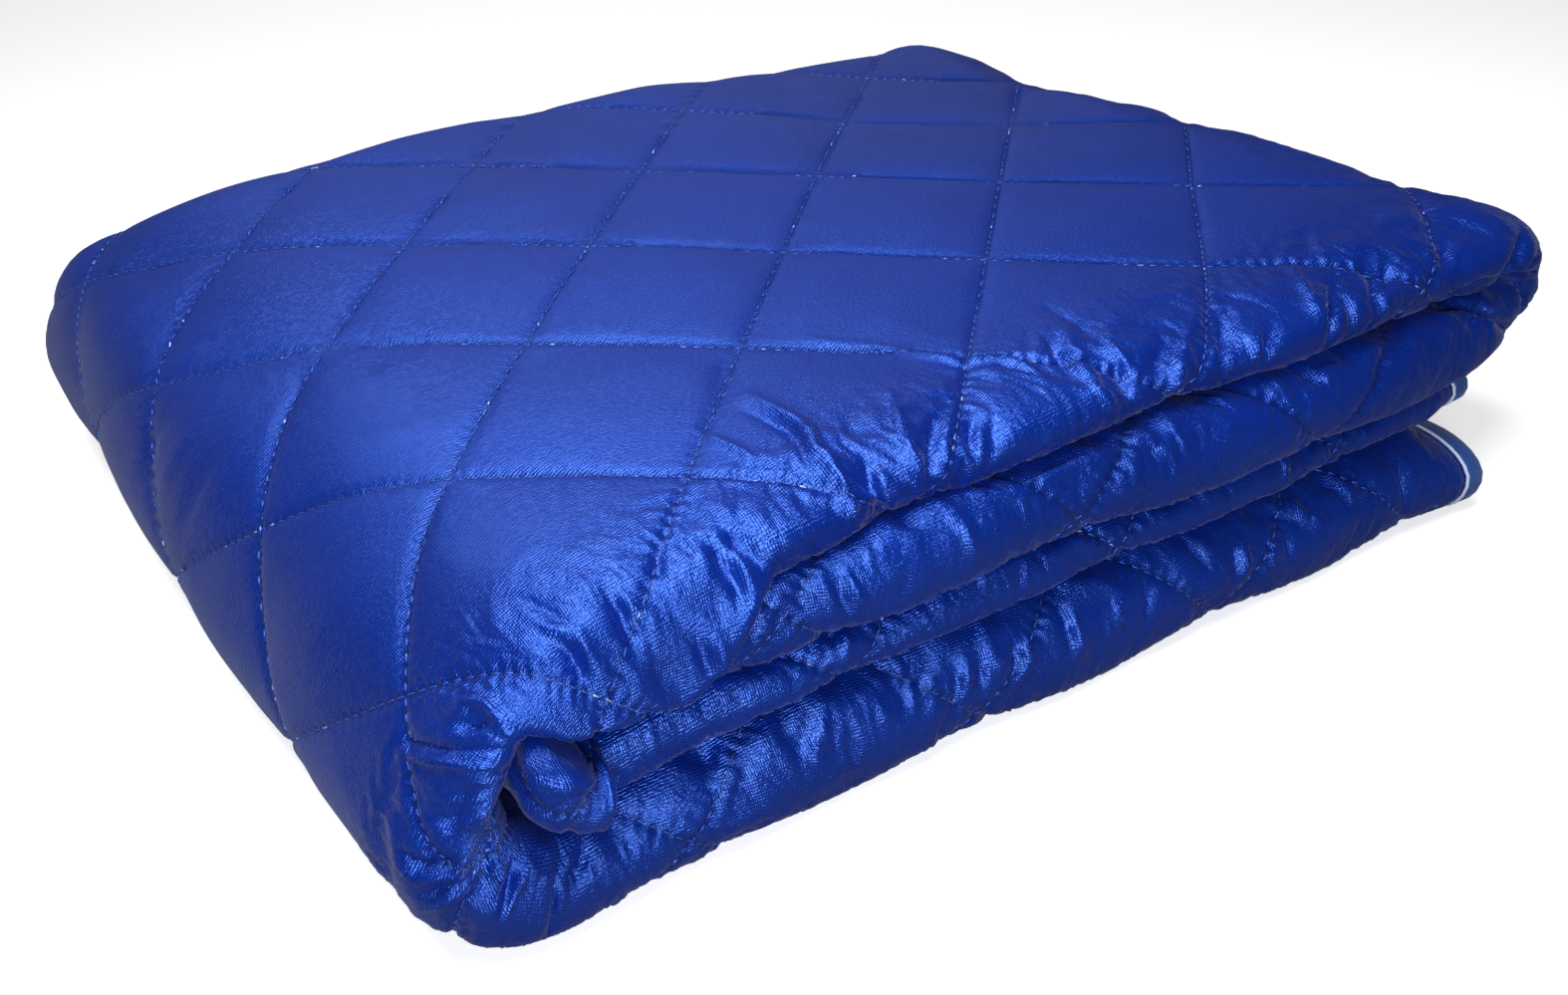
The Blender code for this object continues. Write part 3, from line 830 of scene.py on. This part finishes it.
# %% The weave
RIB, WARP = 0.00095, 0.00075  # from one rib, and from one warp thread, to the next
WANDER = 0.0006
SLUBS = (620.0, 1300.0, 1.0)


def weave_group():
    tree, cloth, out = new_group("taffeta_weave", ("Ribs", "Slubs"))
    wander = reckon(tree, "MULTIPLY", noise(tree, cloth, 260.0, 2.0), WANDER)
    spot = add_node(tree, "ShaderNodeSeparateXYZ", {0: cloth})
    u = reckon(tree, "ADD", spot.outputs[0], wander)
    v = reckon(tree, "ADD", spot.outputs[1], wander)
    warp = reckon(tree, "MULTIPLY", waves(tree, u, WARP), 0.5)
    tree.links.new(reckon(tree, "ADD", waves(tree, v, RIB), warp), out.inputs["Ribs"])
    tree.links.new(noise(tree, cloth, 1.0, 3.0, SLUBS), out.inputs["Slubs"])
    return tree


weave_nodes = weave_group()
print("the weave has", round(MM / RIB, 2), "ribs to the millimetre")

# %% The seams
STITCH_APART, STITCH_LONG, STITCH_THICK = 0.0046, 0.0031, 0.00075
PUCKER_REACH = 0.0042
# painted shade: the cloth's colour is darkened along each seam's trough, over this half width
SEAM_SHADE = 0.0011           # half the width of the dark line under the thread


def seam_group():
    tree, cloth, out = new_group("stitched_seams", ("Near", "Puckers"))
    spot = add_node(tree, "ShaderNodeSeparateXYZ", {0: cloth})
    u, v = spot.outputs[0], spot.outputs[1]
    lines = [
        reckon(tree, "MULTIPLY", reckon(tree, sense, u, v), math.sqrt(0.5))
        for sense in ("ADD", "SUBTRACT")
    ]
    away = [reckon(tree, "PINGPONG", line, LINES_APART / 2) for line in lines]
    puckers = [
        reckon(
            tree, "MULTIPLY",
            waves(tree, lines[1 - index], STITCH_APART),
            bell(tree, away[index], PUCKER_REACH),
        )
        for index in (0, 1)
    ]
    # 1 on each stitched line, falling off to 0: the mask of the painted shade in the seam troughs
    near = bell(tree, reckon(tree, "MINIMUM", *away), SEAM_SHADE)
    tree.links.new(near, out.inputs["Near"])
    tree.links.new(reckon(tree, "ADD", *puckers), out.inputs["Puckers"])
    return tree


seam_nodes = seam_group()
print("a side of a diamond takes", round(LINES_APART / STITCH_APART, 1), "stitches")

# %% The sharpest creases
FRONT_STARTS, FRONT_IN_FULL = 0.014, -0.012
SHARP = (185.0, 34.0, 1.0)    # the creases run round the fronts, so they are fine along them
BENT_BY = (0.011,) * 3


def crease_group():
    tree, cloth, out = new_group("front_creases", ("Front", "Creases"))
    v = add_node(tree, "ShaderNodeSeparateXYZ", {0: cloth}).outputs[1]
    front = spread(tree, v, FRONT_STARTS, FRONT_IN_FULL)
    front.interpolation_type = "SMOOTHSTEP"
    warp = add_node(tree, "ShaderNodeTexNoise", {"Vector": cloth, "Scale": 38.0, "Detail": 1.0})
    bent = add_node(
        tree, "ShaderNodeVectorMath", {0: warp.outputs["Color"], 1: BENT_BY, 2: cloth},
        operation="MULTIPLY_ADD",
    ).outputs[0]
    sharp = noise(tree, bent, 1.0, 1.5, SHARP, "RIDGED_MULTIFRACTAL")
    here = spread(tree, noise(tree, cloth, 60.0, 1.0, shift=5.0), 0.42, 0.62, 0.15, 1.0)
    creases = reckon(tree, "MULTIPLY", reckon(tree, "MULTIPLY", sharp, 0.5), here.outputs[0])
    tree.links.new(front.outputs[0], out.inputs["Front"])
    tree.links.new(reckon(tree, "MULTIPLY", creases, front.outputs[0]), out.inputs["Creases"])
    return tree


crease_nodes = crease_group()
print("shader groups made:", [tree.name for tree in (weave_nodes, seam_nodes, crease_nodes)])

# %% [markdown]
# ## The taffeta
#
# The cloth is royal blue with the soft gloss of satin: its highlights are blue rather than white,
# and it pales where it is seen at a low angle. A plain glossy plastic would have white highlights,
# so part of the reflection is metallic, which tints it, and a little sheen gives the pale edge.

# %% Helpers for materials
def new_material(name, settings):
    """A material whose shader has these constant settings, and its tree and shader."""
    made = bpy.data.materials.new(name)
    made.use_nodes = True
    shader = made.node_tree.nodes["Principled BSDF"]
    for socket, value in settings.items():
        shader.inputs[socket].default_value = value
    return made, made.node_tree, shader


def blend_colours(tree, share, low, high):
    mixed = add_node(tree, "ShaderNodeMix", data_type="RGBA", inputs={0: share, 6: low, 7: high})
    return mixed.outputs[2]


def height(tree, *parts):
    """The sum of (height 0 to 1, metres) parts."""
    total = 0.0
    for part, metres in parts:
        total = reckon(tree, "MULTIPLY_ADD", part, metres, total)
    return total


def bump(tree, shader, metres):
    made = add_node(tree, "ShaderNodeBump", {"Height": metres, "Strength": 1.0, "Distance": 1.0})
    tree.links.new(made.outputs[0], shader.inputs["Normal"])


# %% Taffeta
DEEP_BLUE, ROYAL_BLUE = (0.000, 0.011, 0.18, 1.0), (0.001, 0.027, 0.31, 1.0)
# painted shade: the near-black blue that the troughs of the stitched lines are darkened towards
PAINTED_SEAM_SHADE = (0.0, 0.004, 0.06, 1.0)
BLUE_SHINE, PALE_SHEEN = (0.20, 0.42, 1.0, 1.0), (0.75, 0.78, 1.0, 1.0)
ROUGHNESS, CRUMPLES_ROUGHER, FRONT_SMOOTHER = 0.32, 0.10, -0.08
# how high each of them stands, in metres
RIBS_HIGH, SLUBS_HIGH, PUCKERS_HIGH = 0.00009, 0.00042, 0.00015
CRUMPLES_HIGH, CREASES_HIGH = 0.0003, 0.0021


def taffeta_material():
    made, tree, shader = new_material("royal_blue_taffeta", {
        "Metallic": 0.35, "IOR": 1.8, "Specular IOR Level": 1.0, "Specular Tint": BLUE_SHINE,
        "Sheen Weight": 0.12, "Sheen Roughness": 0.3, "Sheen Tint": PALE_SHEEN,
    })
    cloth = add_node(tree, "ShaderNodeUVMap", uv_map="quilting").outputs[0]
    weave, seams, folds = (
        add_node(tree, "ShaderNodeGroup", node_tree=nodes)
        for nodes in (weave_nodes, seam_nodes, crease_nodes)
    )
    for group in (weave, seams, folds):
        tree.links.new(cloth, group.inputs["Cloth"])
    patches = noise(tree, cloth, 14.0, 3.0)
    crumples = noise(tree, cloth, 75.0, 3.0, (1.0, 0.7, 1.0), shift=3.0)
    colour = blend_colours(tree, patches, DEEP_BLUE, ROYAL_BLUE)
    # painted shade: along each stitched line the colour is darkened towards a near-black blue,
    # where the trough lies in shade; the slubs also vary the tone a little
    slubbed = reckon(tree, "MULTIPLY_ADD", weave.outputs["Slubs"], 0.5, 0.75)
    slub_tone_and_seam_shade = reckon(tree, "MULTIPLY_ADD", seams.outputs["Near"], -0.45, slubbed)
    colour = blend_colours(tree, slub_tone_and_seam_shade, PAINTED_SEAM_SHADE, colour)
    tree.links.new(colour, shader.inputs["Base Color"])
    gloss = reckon(
        tree, "MULTIPLY_ADD", folds.outputs["Front"], FRONT_SMOOTHER,
        reckon(tree, "MULTIPLY_ADD", crumples, CRUMPLES_ROUGHER, ROUGHNESS),
    )
    tree.links.new(gloss, shader.inputs["Roughness"])
    puckers = reckon(
        tree, "MULTIPLY", seams.outputs["Puckers"],
        reckon(tree, "MULTIPLY_ADD", folds.outputs["Front"], 1.6, 0.7),
    )
    crumpled_front = reckon(tree, "MULTIPLY", crumples, folds.outputs["Front"])
    bump(tree, shader, height(
        tree, (weave.outputs["Ribs"], RIBS_HIGH), (weave.outputs["Slubs"], SLUBS_HIGH),
        (puckers, PUCKERS_HIGH), (crumpled_front, CRUMPLES_HIGH),
        (folds.outputs["Creases"], CREASES_HIGH),
    ))
    return made


# %% [markdown]
# ## Tape, cord and thread
#
# The tape is a matte ribbon with ribs of its own, the piping is a white cotton cord, and the
# thread has nearly the blue of the cloth. Each could have one flat colour, but would then look
# like plastic. So a fine fuzz varies their colour and gloss, and a few stitches carry a painted
# pale glint.

# %% Tape, cord and thread
MATTE = {"Sheen Weight": 0.2, "Specular IOR Level": 0.3}
SHINY = {"Metallic": 0.6, "Sheen Weight": 0.1}
TAPE_BLUES = (0.005, 0.036, 0.17, 1.0), (0.012, 0.062, 0.27, 1.0)
CORD_WHITES = (0.34, 0.41, 0.60, 1.0), (0.56, 0.64, 0.82, 1.0)
THREAD_BLUES = (0.004, 0.045, 0.34, 1.0), (0.03, 0.10, 0.52, 1.0)
# painted highlight: the pale blue of a glint, painted on a few stitches
PAINTED_GLINT_BLUE = (0.30, 0.42, 0.85, 1.0)


def fuzzy_material(name, settings, colours, fuzz, least_rough, raised, ribs=0.0):
    """A plain fabric with that fuzz (scale, detail), so rough at least and so raised."""
    made, tree, shader = new_material(name, settings)
    place_on = add_node(tree, "ShaderNodeTexCoord").outputs["Object"]
    fuzz = noise(tree, place_on, *fuzz)
    tree.links.new(colours(tree, place_on, fuzz), shader.inputs["Base Color"])
    tree.links.new(reckon(tree, "MULTIPLY_ADD", fuzz, 0.2, least_rough), shader.inputs["Roughness"])
    parts = [(fuzz, raised)]
    if ribs:
        weave = add_node(tree, "ShaderNodeGroup", {"Cloth": place_on}, node_tree=weave_nodes)
        parts.insert(0, (weave.outputs["Ribs"], ribs))
    bump(tree, shader, height(tree, *parts))
    return made


def two_tones(darker_tone, lighter_tone):
    return lambda tree, place_on, fuzz: blend_colours(tree, fuzz, darker_tone, lighter_tone)


def thread_blues_with_painted_glints(tree, place_on, fuzz):
    patches = noise(tree, place_on, 40.0, 2.0, shift=1.0)
    # painted highlight: rare spots of the thread are painted pale, as glints
    painted_glint = spread(tree, noise(tree, place_on, 230.0, 1.0, shift=2.0), 0.64, 0.70).outputs[0]
    return blend_colours(tree, painted_glint, blend_colours(tree, patches, *THREAD_BLUES), PAINTED_GLINT_BLUE)


tape_surface = fuzzy_material(
    "matte_tape", MATTE, two_tones(*TAPE_BLUES), (900.0, 3.0), 0.5, 0.0001, 0.00006
)
cord_surface = fuzzy_material(
    "white_cord", MATTE, two_tones(*CORD_WHITES), (1300.0, 3.0), 0.5, 0.00012
)
thread = fuzzy_material("sewing_thread", SHINY, thread_blues_with_painted_glints, (1500.0, 2.0), 0.35, 0.00006)
taffeta = taffeta_material()
print("materials made:", [made.name for made in bpy.data.materials])
cloth = finished("quilted_blanket", quilt, taffeta, "blanket")

# %% [markdown]
# ## Letting the cloth crumple
#
# Taffeta is stiff in its threads and soft in bending, so where the fold leaves it too long it
# buckles into sharp little folds, and the stitching gathers it. Such folds could be sculpted, but
# a cloth simulation finds them by itself: the cloth is given some extra length, most of it at the
# fronts and at the right turn, while the stitched lines and what lies inside are held.

# %% What is free to move
STITCH_HELD, WADDING_HELD = 0.6, 0.04
STITCH_WIDTH = 0.0022
HELD_LEVELS, PLAIN_LEVELS = 50, 25
# what is free to move: places along the path and turns round a leaf
FREE_TOP, FREE_OUTER = ((-4.9, -4.1), (17.9, 18.7)), ((6.6, 7.4), (23.0, 23.6))
FREE_FRONT, RIGHT_TURN = ((20.0, 20.5), (23.0, 23.6)), ((14.0, 16.5), (18.4, 19.0))
FREE_HEMS = ((FIRST + 0.5, FIRST + 0.9), (LAST - 0.9, LAST - 0.5))
BESIDE_FRONT = (0.022, 0.04)
CALM_CORNER, CALMER = ((-1.0, 0.3), (2.6, 3.6)), 0.7
TURN_SHARE = 0.8


def soft_group(piece, name, weights, steps):
    """A vertex group with these weights, rounded to so many steps."""
    group = piece.vertex_groups.new(name=name)
    rounded = np.round(weights * steps).astype(int)
    for level in np.unique(rounded):
        group.add(np.flatnonzero(rounded == level).tolist(), level / steps, "REPLACE")


def hold(piece):
    """Vertex groups for what the simulation holds, and for what gets no extra length."""
    mesh = piece.data
    cut_at = np.zeros(len(mesh.vertices) * 3)
    mesh.attributes["cut_at"].data.foreach_get("vector", cut_at)
    along, turn, across = cut_at.reshape(-1, 3).T
    nearest = np.minimum(*seam_distances(along * STEP, across))
    free = window(along, *FREE_TOP) * window(turn, *FREE_OUTER)
    near_front = fading(across, *BESIDE_FRONT)
    near_turn = window(along, *RIGHT_TURN)
    free = np.maximum(free * np.maximum(near_front, near_turn), window(turn, *FREE_FRONT))
    free *= window(along, *FREE_HEMS)
    held = np.maximum(STITCH_HELD * np.exp(-((nearest / STITCH_WIDTH) ** 4)), WADDING_HELD)
    held = np.maximum(held, 1 - free)
    calm = 1 - CALMER * window(along, *CALM_CORNER)
    plain = 1 - np.clip(np.maximum(near_front, TURN_SHARE * near_turn) * calm * free, 0, 1)
    soft_group(piece, "held", held, HELD_LEVELS)
    soft_group(piece, "plain", plain, PLAIN_LEVELS)
    print("on average a point is free to move by", round(float(1 - held.mean()) * 100), "%")


# %% Cloth simulation
EXTRA_TOP, EXTRA_FRONT = 0.002, 0.035
FRAMES = 8
FURTHEST = 0.0055             # the most that a point may move


def points_of(mesh):
    found = np.zeros(len(mesh.vertices) * 3)
    mesh.vertices.foreach_get("co", found)
    return found.reshape(-1, 3)


def crumple(piece):
    """Give the free cloth its extra length, run the simulation and keep its result."""
    mesh = piece.data
    before = points_of(mesh)
    cloth = piece.modifiers.new("crumple", "CLOTH")
    made = cloth.settings
    made.quality = 4
    made.mass = 0.1
    made.tension_stiffness = made.compression_stiffness = 30
    made.shear_stiffness = 5
    made.bending_stiffness = 0.001
    made.air_damping = 2
    made.vertex_group_mass = "held"
    made.pin_stiffness = 1
    made.vertex_group_shrink = "plain"
    made.shrink_min = -EXTRA_FRONT
    made.shrink_max = -EXTRA_TOP
    made.effector_weights.gravity = 0
    cloth.collision_settings.use_collision = False
    cloth.point_cache.frame_start, cloth.point_cache.frame_end = 1, FRAMES + 1
    scene = bpy.context.scene
    scene.frame_start, scene.frame_end = 1, FRAMES + 1
    for number in range(1, FRAMES + 1):
        scene.frame_set(number)
    shaped = piece.evaluated_get(bpy.context.evaluated_depsgraph_get())
    moved = points_of(shaped.data) - before
    piece.modifiers.remove(cloth)
    piece.vertex_groups.clear()
    scene.frame_set(1)
    length = np.linalg.norm(moved, axis=1, keepdims=True)
    after = before + moved * np.minimum(1, FURTHEST / np.maximum(length, 1e-9))
    after[:, 2] = np.maximum(after[:, 2], FLOOR_GAP)
    mesh.vertices.foreach_set("co", after.ravel())
    mesh.update()
    print("crumpled: points moved", round(float(length.mean()) / MM, 2), "mm on average")


hold(cloth)
crumple(cloth)

# %% [markdown]
# ## Tape and piping
#
# Each hem is bound with a matte tape that is folded over the cut edge, and a white cord is sewn
# in where the tape ends. A bevelled curve could give both, but the tape has to follow the leaf's
# own outline, so a small closed profile is laid out flat and carried round the leaf with the same
# mapping as the cloth. A second ring of tape lies inside the first: the inner layers' edge.

# %% Tape and piping
TAPE_WIDTH, CORD_RADIUS = 0.0082, 0.0006
CORD_BEYOND_TAPE, CORD_SUNK = 0.9 * MM, 0.25 * MM
INNER_RING, INNER_THINNER = 0.9 * MM, 0.6 * MM
RING_POINTS, CORD_SIDES = 240, 8


def ring(work, end, inward, profile):
    """A closed profile of (distance from the cut edge, depth under the outline), carried round."""
    fresh = bmesh.ops.create_grid(
        work, x_segments=len(profile), y_segments=RING_POINTS, size=0.5
    )["verts"]
    loops = profile + profile[:1]
    for vertex in fresh:
        distance, depth = loops[round((vertex.co.x + 0.5) * len(profile))]
        turn = (vertex.co.y + 0.5) * AROUND
        spot, _ = place(end + inward * distance / STEP, np.array([turn]), depth)
        vertex.co = spot[0]
        vertex.co.z = max(vertex.co.z, FLOOR_GAP)
    bmesh.ops.remove_doubles(work, verts=fresh, dist=1e-6)


def tape_profile(start, thick):
    """A rounded bar: the tape's two faces and its turn over the cut edge."""
    end = start + thick
    bend = TAPE_WIDTH - 0.5 * MM
    return [
        (TAPE_WIDTH, start + 0.6 * MM), (TAPE_WIDTH, start), (bend, start - 0.2 * MM),
        (1.6 * MM, start - 0.15 * MM), (0.5 * MM, start + 0.3 * MM), (0.0, start + 0.2 * thick),
        (-0.2 * MM, start + 0.5 * thick), (0.0, start + 0.8 * thick), (0.5 * MM, end - 0.3 * MM),
        (1.6 * MM, end + 0.1 * MM), (bend, end + 0.2 * MM), (TAPE_WIDTH, end - 0.4 * MM),
    ]


def cord_profile(middle):
    turns = [math.tau * k / CORD_SIDES for k in range(CORD_SIDES)]
    return [
        (middle + CORD_RADIUS * math.cos(turn), CORD_SUNK + CORD_RADIUS * math.sin(turn))
        for turn in turns
    ]


def sewn_on(name, end, inward, profiles, surface, replaced):
    """Rings of these profiles round one hem, as a finished piece."""
    work = bmesh.new()
    for profile in profiles:
        ring(work, end, inward, profile)
    bmesh.ops.recalc_face_normals(work, faces=work.faces[:])
    finished(name, work, surface, replaced)


for name, end, inward in (("lower", FIRST, 1), ("upper", LAST, -1)):
    layer = LAYER[end]
    tapes = (
        tape_profile(0.0, layer), tape_profile(layer + INNER_RING, layer - INNER_THINNER)
    )
    cords = (cord_profile(TAPE_WIDTH + CORD_BEYOND_TAPE),)
    sewn_on("tape_" + name, end, inward, tapes, tape_surface, "binding_" + name)
    sewn_on("cord_" + name, end, inward, cords, cord_surface, "piping_" + name)

# %% [markdown]
# ## The stitches
#
# The quilting is sewn with a thread of nearly the same blue, and each stitch shows as a small
# bead in the trough of its line. A bump map would be too soft for them, so a stretched little
# sphere is laid on the cloth for each stitch. To find its place, the cloth's UV map is used as a
# flat pattern: a point of a stitched line is looked up there and carried to the folded surface.

# %% The cloth as a flat pattern
def pattern_of(mesh):
    """The cloth's triangles as a flat pattern, and where each lies on the folded cloth."""
    mesh.calc_loop_triangles()
    uv = mesh.uv_layers["quilting"].data
    flats, solids = [], []
    for triangle in mesh.loop_triangles:
        flats.append([uv[loop].uv for loop in triangle.loops])
        solids.append([mesh.vertices[index].co for index in triangle.vertices])
    points = [Vector((*spot, 0.0)) for corners in flats for spot in corners]
    faces = [(3 * k, 3 * k + 1, 3 * k + 2) for k in range(len(flats))]
    return BVHTree.FromPolygons(points, faces), points, solids


def on_cloth(pattern, u, v):
    """The place and the outward direction of the folded cloth at (u, v) of the flat one."""
    tree, points, solids = pattern
    _, _, index, distance = tree.find_nearest(Vector((u, v, 0.0)))
    if index is None or distance > 1e-4:
        return None, None
    a, b, c = solids[index]
    spot = barycentric_transform(Vector((u, v, 0.0)), *points[3 * index: 3 * index + 3], a, b, c)
    return spot, (b - a).cross(c - a).normalized()


pattern = pattern_of(cloth.data)
print("the pattern has", len(pattern[2]), "triangles")

# %% Where the stitching runs
# for the bottom leaf, the wrap with the top, and the leaves between: places along, and across
SEWN = (
    ((-18.4, -4.3), (-0.10, -0.012)),
    ((-4.3, 18.2), (-0.078, 0.37)),
    ((18.2, 48.3), (-0.055, -0.002)),
)
SEWING_REACH = 0.6


def stitched_lines():
    """(u, v) pairs for the two ends of each stitch that would be seen, line by line."""
    half = STITCH_LONG / 2 / math.sqrt(2)
    for slope in (1, -1):
        for line in range(-10, 20):
            for v in np.arange(-SEWING_REACH, SEWING_REACH, STITCH_APART / math.sqrt(2)):
                u = line * DIAMOND + slope * v
                if any(between(u / STEP, along) and between(v, across) for along, across in SEWN):
                    yield (u - slope * half, v - half), (u + slope * half, v + half)


print("there are", sum(1 for _ in stitched_lines()), "places for stitches")

# %% Sewing
SHORTEST, LONGEST = STITCH_LONG * 0.4, STITCH_LONG * 1.8


def one_stitch():
    """The corners and faces of a bead of radius 1."""
    work = bmesh.new()
    bmesh.ops.create_uvsphere(work, u_segments=6, v_segments=4, radius=1.0)
    work.verts.index_update()
    corners = np.array([vertex.co[:] for vertex in work.verts])
    faces = [[vertex.index for vertex in face.verts] for face in work.faces]
    work.free()
    return corners, faces


def sew(pattern):
    """All the stitches as one joined mesh: the same bead, stretched and turned for each."""
    corners, faces = one_stitch()
    thick = STITCH_THICK / 2
    points, joined = [], []
    for ends in stitched_lines():
        (start, out), (finish, _) = on_cloth(pattern, *ends[0]), on_cloth(pattern, *ends[1])
        if start is None or finish is None:
            continue
        length = (finish - start).length
        if not SHORTEST < length < LONGEST:
            continue
        axis = (finish - start) / length
        side = axis.cross(out).normalized()
        frame_of = np.array([side * thick, axis * (length / 2), side.cross(axis) * thick])
        middle = np.array((start + finish) / 2 + out * (thick * 0.5))
        joined += [[len(points) * len(corners) + index for index in face] for face in faces]
        bead = corners @ frame_of + middle
        bead[:, 2] = np.maximum(bead[:, 2], FLOOR_GAP)
        points.append(bead)
    print(len(points), "stitches sewn")
    mesh = bpy.data.meshes.new("quilting_stitches")
    mesh.from_pydata(np.concatenate(points).tolist(), [], joined)
    work = bmesh.new()
    work.from_mesh(mesh)
    bmesh.ops.recalc_face_normals(work, faces=work.faces[:])
    bpy.data.meshes.remove(mesh)
    return work


finished("quilting_stitches", sew(pattern), thread, None)

# %% [markdown]
# ## The floor
#
# The blanket lies on a plain pale floor. A real white table would throw so much light back under
# the folds that their dark gaps would be lost, so the floor is darker for the light that bounces
# off it than for the camera, and is lit a little from within where the camera sees it.

# %% A plain floor
SEEN, BOUNCED = (0.90, 0.90, 0.90, 1.0), (0.15, 0.15, 0.15, 1.0)
UNLIT, BACKLIT = (0.0, 0.0, 0.0, 1.0), (0.50, 0.50, 0.50, 1.0)
HALF_FLOOR = 4.0
floor_mesh = bpy.data.meshes.new("floor")
work = bmesh.new()
bmesh.ops.create_grid(work, x_segments=1, y_segments=1, size=HALF_FLOOR)
work.to_mesh(floor_mesh)
work.free()
floor = bpy.data.objects.new("floor", floor_mesh)
pale, tree, shader = new_material("pale_floor", {"Roughness": 0.9})
seen = add_node(tree, "ShaderNodeLightPath").outputs["Is Camera Ray"]
tree.links.new(blend_colours(tree, seen, BOUNCED, SEEN), shader.inputs["Base Color"])
shader.inputs["Emission Strength"].default_value = 1.0
tree.links.new(blend_colours(tree, seen, UNLIT, BACKLIT), shader.inputs["Emission Color"])
floor.data.materials.append(pale)
bpy.context.scene.collection.objects.link(floor)
print("floor laid,", 2 * HALF_FLOOR, "m wide")

# %% [markdown]
# ## The light
#
# The shine of taffeta shows its folds, so it needs a few soft lights rather than an even one. A
# broad light from above gives the wash over the near diamonds, a low one in front makes the
# glints round the near corner, and a weak one behind pales the far part of the top.

# %% Room and lights
ROOM_LIGHT = {"Color": (0.88, 0.92, 1.0, 1.0), "Strength": 0.095}
world = bpy.data.worlds.new("soft_room")
bpy.context.scene.world = world
world.use_nodes = True
for socket, value in ROOM_LIGHT.items():
    world.node_tree.nodes["Background"].inputs[socket].default_value = value


def softbox(name, place_at, aim, size, power):
    """A rectangular light of that size and power in watts, turned towards its aim."""
    data = bpy.data.lights.new(name, "AREA")
    data.shape = "RECTANGLE"
    data.size, data.size_y = size
    data.energy = power
    made = bpy.data.objects.new(name, data)
    made.location = place_at
    made.rotation_euler = (Vector(aim) - Vector(place_at)).to_track_quat("-Z", "Y").to_euler()
    bpy.context.scene.collection.objects.link(made)
    print(name, "of", power, "W")


softbox("ceiling_light", (-0.19, -0.11, 0.76), (-0.10, -0.08, 0.05), (0.6, 0.5), 9.0)
softbox("front_light", (-0.45, -0.9, 0.36), (-0.12, -0.15, 0.05), (0.42, 0.26), 7.8)
softbox("back_light", (0.45, 1.15, 0.62), (0.0, 0.0, 0.05), (1.3, 0.6), 1.7)

# %% [markdown]
# ## The camera
#
# It stands where the photograph was taken, above the near corner and looking down at the stack.
# The crossings of the stitched lines on the top, read off the photograph, gave its place and its
# direction, which is kept here as three axes rather than as angles.

# %% The photograph's camera
CAMERA_RIGHT = Vector((0.82489, -0.56368, -0.04260))
CAMERA_DOWN = Vector((-0.34253, -0.43846, -0.83092))
CAMERA_AHEAD = Vector((0.44970, 0.70001, -0.55476))
CAMERA_AT = (-0.29196, -0.46508, 0.34078)
FOCAL_LENGTH, PICTURE_WIDTH = 1490, 1574      # in the photograph's pixels
camera_data = bpy.data.cameras.new("camera")
camera_data.sensor_width = 36.0
camera_data.lens = FOCAL_LENGTH / PICTURE_WIDTH * camera_data.sensor_width
camera = bpy.data.objects.new("camera", camera_data)
axes = Matrix((CAMERA_RIGHT, -CAMERA_DOWN, -CAMERA_AHEAD)).transposed()
camera.matrix_world = Matrix.Translation(CAMERA_AT) @ axes.to_4x4()
bpy.context.scene.collection.objects.link(camera)
bpy.context.scene.camera = camera
bpy.context.scene.view_settings.view_transform = "Standard"
print("camera with a lens of", round(camera_data.lens, 1), "mm")
